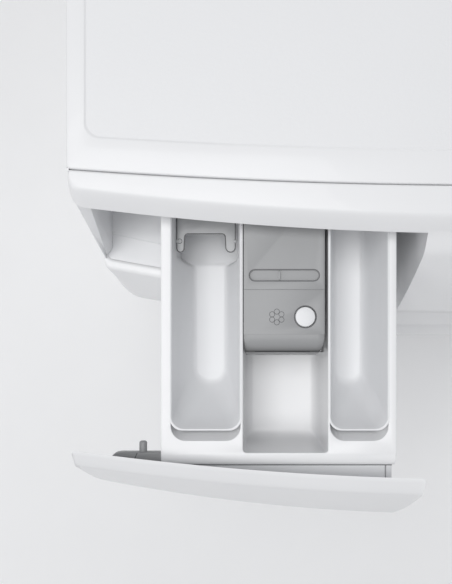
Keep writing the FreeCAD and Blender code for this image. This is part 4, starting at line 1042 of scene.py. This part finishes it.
def make_stiffener():
    """Two-part clip between the tray and the front plate, with a painted shadow strip along its rear
    edge.
    """
    low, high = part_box("drawer_stiffener")
    left, right = low.x / MM, high.x / MM
    top = (TOP - high.z) / MM
    back = high.y / MM
    clip = Builder()
    for x0, x1 in ((left, -82.5), (-81.9, right)):
        columns = [(x, top + (0.9 if i in (0, 7) else 0.0), back)
                   for i, x in enumerate([x0, x0 + 0.8, *spaced(x0 + 2, x1 - 2, 4), x1 - 0.8, x1])]
        block_behind_plate(clip, columns, top + 56)
    clip.make("stiffener_clip", "inner_plastic", "drawer", "grey_plastic",
              ("drawer_stiffener",), 40.0)
    # Painted shadow: a thin dark strip along the clip's rear edge, where the gap to the tray falls
    # in shade.
    shadow = Builder()
    shadow.strip([at(x, back - 0.1, top - 0.04) for x in (left, right)],
                 [at(x, back - 0.9, top - 0.04) for x in (left, right)])
    shadow.make("stiffener_gap_painted_shadow", "gap_painted_shade", "drawer", "grey_plastic")


# ---------------------------------------------------------------- cabinet skins

def panel_y(x):
    """Front surface of the steel panels at x (mm)."""
    front, bow, half, corner, _ = PANEL
    centre_y = front + bow
    inset, reach = half - corner, bow - corner
    corner_y = centre_y - math.sqrt(reach * reach - inset * inset)
    slope_x = bow * inset / reach
    if abs(x) <= slope_x:
        return arc_y(front, bow, x)
    over = min(abs(x) - inset, corner)
    return corner_y - math.sqrt(max(corner * corner - over * over, 0.0))


def corner_columns():
    """Plan points from the end of the bow round the corner to the side panel."""
    return half_line(*PANEL, PANEL_FLAT_HALF, 3, 14)


def edge_return(builder, top_line, bottom_line, up):
    """Rounded fold of a sheet's edge, turned back into the cabinet."""
    rows = [top_line]
    for back, rise in ((0.6, 0.55), (1.6, 0.9), (9.0, 0.9)):
        rows.append([Vector(p) + Vector((-math.copysign(min(back, 3.0), p[0]) * MM
                                         if abs(p[0]) > 0.3 else 0, back * MM, up * rise * MM))
                     for p in bottom_line])
    builder.grid(rows)


def make_front_panel():
    """Bowed enamel front with its round dished door seat."""
    low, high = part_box("front_panel")
    bottom, top = low.z + 0.9 * MM, high.z - 0.9 * MM
    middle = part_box("door_ring")
    centre_z = (middle[0].z + middle[1].z) / 2
    dish, port, seat = 247.0, 180.0, -230.0
    rays = 160
    side = PANEL_FLAT_HALF
    rows = []
    for share in spaced(0.0, 1.0, 12):
        row = []
        for ray in range(rays):
            turn = 2 * math.pi * ray / rays
            across, up = math.cos(turn), math.sin(turn)
            limit_up = (top - centre_z if up > 0 else centre_z - bottom) / MM
            reach = min(side / abs(across) if abs(across) > 1e-6 else 1e9,
                        limit_up / abs(up) if abs(up) > 1e-6 else 1e9)
            start = dish + 2.2
            radius = start + (reach - start) * share
            x = across * radius
            row.append(Vector((x * MM, panel_y(x) * MM, centre_z + up * radius * MM)))
        rows.append(row)
    skin = Builder().grid(rows, closed=True)
    corners = snapped_corners(rows[-1], side, bottom, top)
    skin_corner_fill(skin, corners)
    ring = []
    for radius, back in ((dish + 2.2, 0.0), (dish + 1.2, 0.35), (dish + 0.3, 1.3), (dish, 2.6)):
        ring.append([polar(radius, 2 * math.pi * r / rays, centre_z, back) for r in range(rays)])
    for radius, y in ((dish - 0.3, -233.0), (dish - 1.2, -231.2), (dish - 3.4, -230.2),
                      (dish - 6.0, seat), (port + 5.0, seat), (port + 1.4, seat + 0.5),
                      (port, seat + 2.0), (port, seat + 6.8)):
        ring.append([Vector((radius * MM * math.cos(2 * math.pi * r / rays), y * MM,
                             centre_z + radius * MM * math.sin(2 * math.pi * r / rays)))
                     for r in range(rays)])
    skin.grid(ring, closed=True)
    levels = spaced(bottom, top, 6)
    for sign in (-1, 1):
        skin.grid([[Vector((sign * x * MM, y * MM, z)) for x, y in corner_columns()]
                   for z in levels])
    full = front_line(*PANEL)
    for z, up in ((top, 1), (bottom, -1)):
        line = [Vector((x * MM, y * MM, z)) for x, y in full]
        edge_return(skin, line, line, up)
    skin.make("front_panel_skin", "white_enamel", "cabinet", "white_enamel",
              ("front_panel",), 30.0)


def polar(radius, turn, centre_z, back):
    x = radius * math.cos(turn)
    return Vector((x * MM, (panel_y(x) + back) * MM, centre_z + radius * MM * math.sin(turn)))


def snapped_corners(ring, side, bottom, top):
    """The ring's points nearest each corner of the flat field, with the corner itself."""
    out = []
    for sx in (-1, 1):
        for z in (bottom, top):
            corner = Vector((sx * side * MM, panel_y(side) * MM, z))
            order = sorted(range(len(ring)), key=lambda i: (ring[i] - corner).length)
            first, second = sorted(order[:2])
            out.append((ring[first], ring[second], corner))
    return out


def skin_corner_fill(skin, corners):
    for first, second, corner in corners:
        if (first - corner).length > 1e-5 and (second - corner).length > 1e-5:
            skin.fan([first, corner, second])


def make_toe_panel():
    """Lower service panel with the hole of the drain filter door."""
    low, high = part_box("toe_panel")
    bottom, top = low.z + 0.9 * MM, high.z - 0.9 * MM
    hole = (-286.0, -164.0, 0.068, 0.162)
    skin = Builder()

    def patch(xs, z0, z1):
        skin.grid([[Vector((x * MM, panel_y(x) * MM, z)) for x in xs] for z in (z0, z1)])

    left = spaced(-PANEL_FLAT_HALF, hole[0], 3)
    middle = spaced(hole[0], hole[1], 24)
    right = spaced(hole[1], PANEL_FLAT_HALF, 48)
    patch(left, bottom, top)
    patch(right, bottom, top)
    patch(middle, bottom, hole[2])
    patch(middle, hole[3], top)
    for sign in (-1, 1):
        skin.grid([[Vector((sign * x * MM, y * MM, z)) for x, y in corner_columns()]
                   for z in (bottom, top)])
    rim = [(x, hole[2]) for x in middle] + [(x, hole[3]) for x in reversed(middle)]
    front = [Vector((x * MM, panel_y(x) * MM, z)) for x, z in rim]
    skin.grid([front, [p + Vector((0, 0.0007, 0)) for p in front],
               [p + Vector((0, 0.011, 0)) for p in front]], closed=True)
    full = front_line(*PANEL)
    for z, up in ((top, 1), (bottom, -1)):
        line = [Vector((x * MM, y * MM, z)) for x, y in full]
        edge_return(skin, line, line, up)
    skin.make("toe_panel_skin", "white_enamel", "cabinet", "white_enamel",
              ("toe_panel",), 30.0)


def make_side_panels():
    """Sheet side walls with a broad stamped field and folded edges."""
    for node, sign in (("left_side_panel", -1), ("right_side_panel", 1)):
        low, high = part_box(node)
        outer = sign * HALF
        y0, y1, z0, z1 = low.y, high.y, low.z, high.z
        sheet = Builder()
        rings = []
        for inset, deep in ((-1, 0.0), (70, 0.0), (72, 0.2), (75, 1.2), (79, 2.6), (83, 3.4),
                            (86, 3.5), (120, 3.5)):
            if inset < 0:
                outline = rounded_rectangle(y0, y1, z0, z1, 0.0008, 8)
            else:
                grow = inset * MM
                outline = rounded_rectangle(y0 + grow, y1 - grow, z0 + grow, z1 - grow, 0.045, 8)
            rings.append([Vector((outer - sign * deep * MM, y, z)) for y, z in outline])
        sheet.grid(rings, closed=True).fan(rings[-1])
        rim = rings[0]
        folds = [rim]
        outline = rounded_rectangle(y0, y1, z0, z1, 0.0008, 8)
        for deep in (0.7, 1.0, 13.2):
            folds.append([Vector((outer - sign * deep * MM, y, z)) for y, z in outline])
        sheet.grid(folds, closed=True)
        sheet.make(node + "_skin", "white_enamel", "cabinet", "white_enamel", (node,), 28.0)


# ---------------------------------------------------------------- door

def door_centre():
    low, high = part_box("door_ring")
    return Vector((0, 0, (low.z + high.z) / 2))


def turned_piece(name, profile, material, body, slot, node, steps=128, closed=True, sharp=38.0):
    part = Builder()
    part.lathe([(max(r, 0.01), y) for r, y in profile], steps, "Y", door_centre(), closed)
    return part.make(name, material, body, slot, node, sharp)


def make_door():
    """Moulded ring, thick bowl, inner frame and bridge handle."""
    front = rounded_polyline([(171.2, -280.2), (171.0, -286.2), (176.0, -291.0), (188.0, -299.4),
                              (197.0, -299.9), (214.0, -297.6), (229.0, -290.0), (238.0, -280.0),
                              (241.8, -266.0), (242.0, -246.0), (241.9, -233.4), (238.2, -233.0),
                              (238.0, -263.0), (232.0, -277.0), (213.0, -291.5), (191.0, -293.6),
                              (175.4, -280.4)], 5.0, 5)
    turned_piece("door_ring_skin", front, "white_plastic", "door", "white_plastic",
                 ("door_ring",))
    bead = rounded_polyline([(168.6, -285.4), (170.6, -290.4), (174.2, -291.4), (178.2, -293.4),
                             (178.6, -291.6), (172.0, -285.0)], 0.9, 4)
    turned_piece("door_ring_bead", bead, "chrome", "door", "chrome", ())
    bowl = ([(0, -287.6), (60, -287.5), (125, -286.8), (158, -285.6), (168.5, -284.2),
             (169.9, -281.5), (169.6, -278.5), (161.5, -274.5), (158.5, -262.0), (157.2, -240.0),
             (156.4, -222.0), (152.0, -198.0), (142.5, -176.5), (131.0, -165.0), (117.0, -157.2),
             (96.0, -152.4), (60.0, -149.6), (0, -148.2)])
    inner = [(0, -153.0), (58, -154.4), (92, -157.0), (112, -161.8), (126, -169.4),
             (137.0, -180.5), (146.5, -201.0), (151.0, -224.0), (152.4, -245.0), (154.6, -268.0),
             (152.0, -277.5), (122.0, -281.8), (58, -282.7), (0, -283.0)]
    profile = smooth_outline(bowl, 3) + smooth_outline(inner, 3)
    turned_piece("door_bowl_glass", profile, "window_glass", "door", "window_glass",
                 ("door_bowl",), 112, False)
    frame_profile = rounded_polyline([(162.2, -272.6), (180.0, -272.6), (185.0, -237.4),
                                      (214.0, -237.0), (236.8, -237.0), (236.8, -233.1),
                                      (214.0, -233.2), (169.0, -233.2), (162.4, -236.0),
                                      (162.2, -272.0)], 2.0, 4)
    turned_piece("door_inner_ring", frame_profile, "pale_grey_plastic", "door",
                 "white_plastic", ("door_inner_frame",))
    make_handle()


def make_handle():
    """Curved grip standing clear of the ring between two feet."""
    centre_z = door_centre().z
    reach = math.asin(105.0 / 219.0) - 0.012
    rings = []
    for share in spaced(-1.0, 1.0, 49):
        turn = reach * share
        mouth = max(0.0, (abs(share) - 0.84) / 0.16)
        back = -322.0 + 25.0 * min(1.0, mouth * 1.6)**2 * (3 - 2 * min(1.0, mouth * 1.6))
        lead = -333.9 + 30.0 * mouth**2.2
        narrow = 1.0 + 4.0 * mouth**3
        inner, outer = 207.2 + narrow, 230.8 - narrow
        section = rounded_rectangle(inner, outer, min(lead, back - 4.0), back, (5.0, 2.0), 5)
        rings.append([Vector((r * MM * math.cos(turn), y * MM, centre_z + r * MM * math.sin(turn)))
                      for r, y in section])
    Builder().solid(rings).make("door_grip", "chrome", "door", "chrome", ("door_handle",), 42.0)


def make_gasket():
    """Bellows with three soft folds between port and tub."""
    profile = smooth_outline([
        (171.4, -230.5), (178.6, -230.6), (179.4, -227.0), (179.4, -217.5), (185.0, -211.5),
        (194.0, -208.5), (195.6, -202.5), (194.0, -196.8), (198.0, -192.5), (204.5, -188.0),
        (205.2, -176.0), (204.8, -156.0), (203.4, -154.3), (197.0, -154.3), (196.6, -158.0),
        (195.6, -176.0), (190.5, -184.5), (186.8, -190.0), (190.0, -199.0), (186.5, -204.6),
        (178.0, -208.4), (172.6, -213.8), (171.3, -222.0), (171.4, -230.2)], 4)
    turned_piece("gasket_bellows", profile, "rubber", "cabinet", "rubber",
                 ("door_gasket",), 128, False)


# ---------------------------------------------------------------- controls

def fascia_frame(across, drop):
    """Matrix that stands +Z on the fascia at a point."""
    share = (drop - FASCIA_HEAD) / (FASCIA_FOOT - FASCIA_HEAD)
    high, low = arc_y(*FASCIA_HEAD_LINE, across), arc_y(*FASCIA_FOOT_LINE, across)
    slope = math.atan2(FASCIA_HEAD_LINE[0] - FASCIA_FOOT_LINE[0], FASCIA_FOOT - FASCIA_HEAD)
    place = at(across, high + (low - high) * share, drop)
    turn = Matrix.Rotation(math.asin(across / FASCIA_HEAD_LINE[1]), 4, "Z")
    tilt = Matrix.Rotation(math.pi / 2 - slope, 4, "X")
    return Matrix.Translation(place) @ turn @ tilt


def make_knob():
    """Cycle selector: low skirt, fluted grip and pointer line."""
    knob = Builder()
    steps = 144
    rows = [(30.9, 1.1, 0), (30.7, 2.4, 0), (29.9, 5.0, 0), (29.0, 6.4, 0), (27.6, 6.9, 0),
            (26.4, 7.1, 0), (24.9, 7.6, 0.2), (24.5, 9.0, 0.7), (23.9, 15.0, 0.7),
            (23.3, 20.2, 0.6), (22.8, 21.8, 0.3), (21.6, 22.8, 0.05), (19.8, 22.95, 0),
            (18.6, 22.5, 0), (15.0, 21.9, 0), (6.0, 21.5, 0), (0.01, 21.5, 0)]
    rings = []
    for radius, up, flute in rows:
        ring = []
        for s in range(steps):
            turn = 2 * math.pi * s / steps
            r = (radius - flute * (0.5 + 0.5 * math.cos(24 * turn))) * MM
            ring.append(Vector((r * math.cos(turn), r * math.sin(turn), up * MM)))
        rings.append(ring)
    knob.grid(rings, closed=True)
    stand = fascia_frame(30.0, CONTROL_DROP)
    knob.turned(stand)
    knob.make("cycle_knob_grip", "white_plastic", "knob", "white_plastic",
              ("cycle_knob",), 40.0)
    collar = Builder()
    collar.lathe([(26.4, 7.15), (26.2, 7.9), (25.6, 8.3), (24.7, 8.3), (24.6, 7.6)], 96, "Z")
    collar.turned(stand)
    collar.make("cycle_knob_collar", "chrome", "knob", "chrome", ())
    mark = Builder()
    mark.block((-0.0009, 0.0075, 0.02125), (0.0009, 0.0175, 0.02235), 0.0002)
    mark.turned(stand)
    mark.make("cycle_knob_mark", "groove_grey", "knob", "grey_plastic", ())


def make_keys():
    """Round power and start keys, three slim option keys."""
    cap = [(11.9, -8.9), (11.95, 2.2), (11.6, 3.3), (10.8, 3.85), (10.0, 3.95), (9.0, 3.8),
           (6.0, 3.35), (0.01, 3.2)]
    ring = [(10.6, 3.88), (10.5, 3.97), (9.7, 3.98), (9.6, 3.88)]
    seam = [(12.55, 0.06), (12.75, 0.3), (13.9, 0.3), (14.2, 0.05)]
    for node, key_body, across in (("power_button", "power_key", 88.0),
                                   ("start_button", "start_key", 296.0)):
        stand = fascia_frame(across, CONTROL_DROP)
        for name, profile, material, body, slot, replaced, sharp in (
                ("_cap", cap, "white_plastic", key_body, "white_plastic", (node,), 40.0),
                ("_ring", ring, "chrome", key_body, "chrome", (), 35.0),
                ("_surround", seam, "pale_grey_plastic", "cabinet", "grey_plastic", (), 35.0)):
            part = Builder().lathe(profile, 72, "Z").turned(stand)
            part.make(node + name, material, body, slot, replaced, sharp)
    outline = rounded_rectangle(-11.9, 11.9, -3.9, 3.9, 2.6)
    rings = [level_ring(scaled_to(outline, inset), up * MM) for inset, up in
             ((0.0, -7.9), (0.0, 2.0), (0.2, 2.6), (0.7, 2.95), (1.6, 2.8))]
    for name, across in (("left", 138.0), ("middle", 190.0), ("right", 242.0)):
        key = Builder().solid(rings).turned(fascia_frame(across, OPTION_DROP))
        key.make("option_key_" + name + "_cap", "white_plastic", "option_key_" + name,
                 "white_plastic", ("option_button_" + name,), 40.0)


# ---------------------------------------------------------------- drum and running gear

def make_drum():
    """Rolled basket: holed wrapper, pressed back and rounded mouth."""
    low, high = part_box("drum_shell")
    centre = door_centre()
    wrap = 268.7 * MM
    around, along = 90, 22
    front, back = low.y + 0.022, high.y - 0.012
    pitch = (back - front) / along
    shell = Builder()
    points, faces = [], []
    hole = 0.19

    def spot(u, v):
        turn = 2 * math.pi * u / around
        return (centre.x + wrap * math.cos(turn), front + pitch * v,
                centre.z + wrap * math.sin(turn))

    sides = ((0.5, 0.0), (1.0, 0.0), (1.0, 0.5), (1.0, 1.0), (0.5, 1.0), (0.0, 1.0), (0.0, 0.5),
             (0.0, 0.0))
    for row in range(along):
        for col in range(around):
            base = len(points)
            shift = 0.5 * (row % 2)
            for u, v in sides:
                points.append(spot(col + shift + u, row + v))
            for u, v in sides:
                turn = math.atan2(v - 0.5, u - 0.5)
                points.append(spot(col + shift + 0.5 + hole * math.cos(turn),
                                   row + 0.5 + hole * math.sin(turn)))
            for s in range(8):
                n = (s + 1) % 8
                faces.append((base + s, base + n, base + 8 + n, base + 8 + s))
    shell.points.extend(Vector(p) for p in points)
    shell.faces.extend(faces)
    mouth = [(268.7, low.y / MM + 22.0), (268.9, low.y / MM + 18.5), (266.0, low.y / MM + 12.0),
             (258.0, low.y / MM + 4.5), (250.0, low.y / MM + 1.2), (240.0, low.y / MM + 0.3),
             (215.0, low.y / MM + 0.2), (206.0, low.y / MM + 0.6), (202.6, low.y / MM + 2.6),
             (202.0, low.y / MM + 6.8)]
    shell.lathe(mouth, 120, "Y", centre)
    rear = high.y / MM
    pressed = [(268.7, rear - 12.0), (268.6, rear - 4.0), (266.0, rear - 1.2), (260.0, rear - 0.4),
               (238.0, rear - 0.4), (234.0, rear - 1.4), (150.0, rear - 1.6), (146.0, rear - 0.6),
               (60.0, rear - 0.5), (12.0, rear - 0.5)]
    shell.lathe(pressed, 120, "Y", centre)
    shell.make("drum_basket", "stainless", "drum", "stainless_steel", ("drum_shell",), 40.0)


def make_springs():
    """Two hanging coils with hooked ends."""
    low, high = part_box("suspension_springs")
    coils = Builder()
    turns, wire, radius = 15, 0.0019, 0.0088
    for x in (-0.215, 0.215):
        rings = []
        for step in range(turns * 14 + 1):
            share = step / (turns * 14)
            turn = 2 * math.pi * step / 14
            up = low.z + 0.002 + (high.z - low.z - 0.004) * share
            ring = []
            for side in range(6):
                spin = 2 * math.pi * side / 6
                r = radius + wire * math.cos(spin)
                ring.append(Vector((x + r * math.cos(turn), 0.130 + r * math.sin(turn),
                                    up + wire * math.sin(spin))))
            rings.append(ring)
        coils.solid(rings)
    coils.make("suspension_coils", "black_steel", "cabinet", "black_steel",
               ("suspension_springs",), 60.0)


def make_feet():
    """Four screw feet: rubber sole, flared pad, lock nut."""
    low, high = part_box("levelling_feet")
    pads, soles = Builder(), Builder()
    reach = 0.022
    places = [(x, y) for x in (low.x + reach, high.x - reach)
              for y in (low.y + reach, high.y - reach)]
    for x, y in places:
        centre = Vector((x, y, low.z))
        soles.lathe([(0.01, 0.0), (19.5, 0.0), (21.4, 0.8), (21.9, 2.2), (21.7, 4.0),
                     (20.6, 4.6)], 48, "Z", centre)
        pads.lathe([(20.8, 4.3), (20.6, 6.2), (18.0, 7.6), (10.5, 9.0), (8.6, 10.4), (8.4, 14.0),
                    (6.2, 14.4), (6.0, 24.9), (0.01, 25.0)], 48, "Z", centre)
        nut = circle(x / MM, y / MM, 11.9, 6)
        pads.solid([level_ring(nut, low.z + z * MM) for z in (16.0, 22.0)])
    pads.make("foot_pads", "dark_plastic", "cabinet", "dark_plastic",
              ("levelling_feet",), 35.0)
    soles.make("foot_soles", "black_rubber", "cabinet", "black_rubber", (), 35.0)


# ---------------------------------------------------------------- studio

def make_camera():
    """Straight down over the drawer, arm's length above the worktop."""
    data = bpy.data.cameras.new("camera")
    data.sensor_width = 36.0
    data.lens = 34.5
    data.shift_x = -0.041
    data.shift_y = 0.0736
    data.clip_start = 0.02
    camera = bpy.data.objects.new("camera", data)
    camera.location = (-0.1981, -0.300, TOP + 0.440)
    bpy.context.scene.collection.objects.link(camera)
    bpy.context.scene.camera = camera
    bpy.context.scene.view_settings.view_transform = "Standard"


def make_light(name, place, aim, size, power, colour=(1.0, 1.0, 1.0)):
    data = bpy.data.lights.new(name, "AREA")
    data.shape = "RECTANGLE"
    data.size, data.size_y = size
    data.energy = power
    data.color = colour
    lamp = bpy.data.objects.new(name, data)
    lamp.location = place
    lamp.rotation_mode = "QUATERNION"
    lamp.rotation_quaternion = (Vector(aim) - Vector(place)).to_track_quat("-Z", "Y")
    bpy.context.scene.collection.objects.link(lamp)


def make_studio():
    """Soft overhead box, two side fills and a pale floor."""
    make_light("overhead", (-1.0, -0.3, 5.8), (0.0, -0.2, TOP), (4.2, 3.6), 160.0)
    make_light("left_fill", (-2.6, -1.4, 2.4), (0.0, -0.2, 0.7), (1.6, 1.6), 16.0)
    make_light("right_fill", (2.8, -2.4, 1.8), (0.0, -0.2, 0.5), (1.6, 1.6), 13.0)
    make_light("rear_fill", (0.6, 3.2, 1.8), (0.0, 0.3, 0.5), (1.6, 1.6), 13.0)
    world = bpy.context.scene.world or bpy.data.worlds.new("world")
    bpy.context.scene.world = world
    world.use_nodes = True
    back = world.node_tree.nodes["Background"]
    back.inputs["Color"].default_value = (0.93, 0.95, 1.0, 1.0)
    back.inputs["Strength"].default_value = 0.30
    mesh = bpy.data.meshes.new("floor")
    reach = 9.0
    mesh.from_pydata([(-reach, -reach, FLOOR), (reach, -reach, FLOOR), (reach, reach, FLOOR),
                      (-reach, reach, FLOOR)], [], [(0, 1, 2, 3)])
    floor = bpy.data.objects.new("floor", mesh)
    floor.data.materials.append(plastic("floor_paint", (0.93, 0.93, 0.93), 0.8, vary=0.004))
    bpy.context.scene.collection.objects.link(floor)


dress_cad_nodes()
make_console()
make_worktop()
make_drawer_front()
make_drawer_box()
make_cup("detergent_trough", "detergent_cup", "left")
make_cup("bleach_trough", "bleach_cup", "right")
make_siphon_cover()
make_flap()
make_bracket()
make_stiffener()
make_front_panel()
make_toe_panel()
make_side_panels()
make_door()
make_gasket()
make_knob()
make_keys()
make_drum()
make_springs()
make_feet()
make_camera()
make_studio()
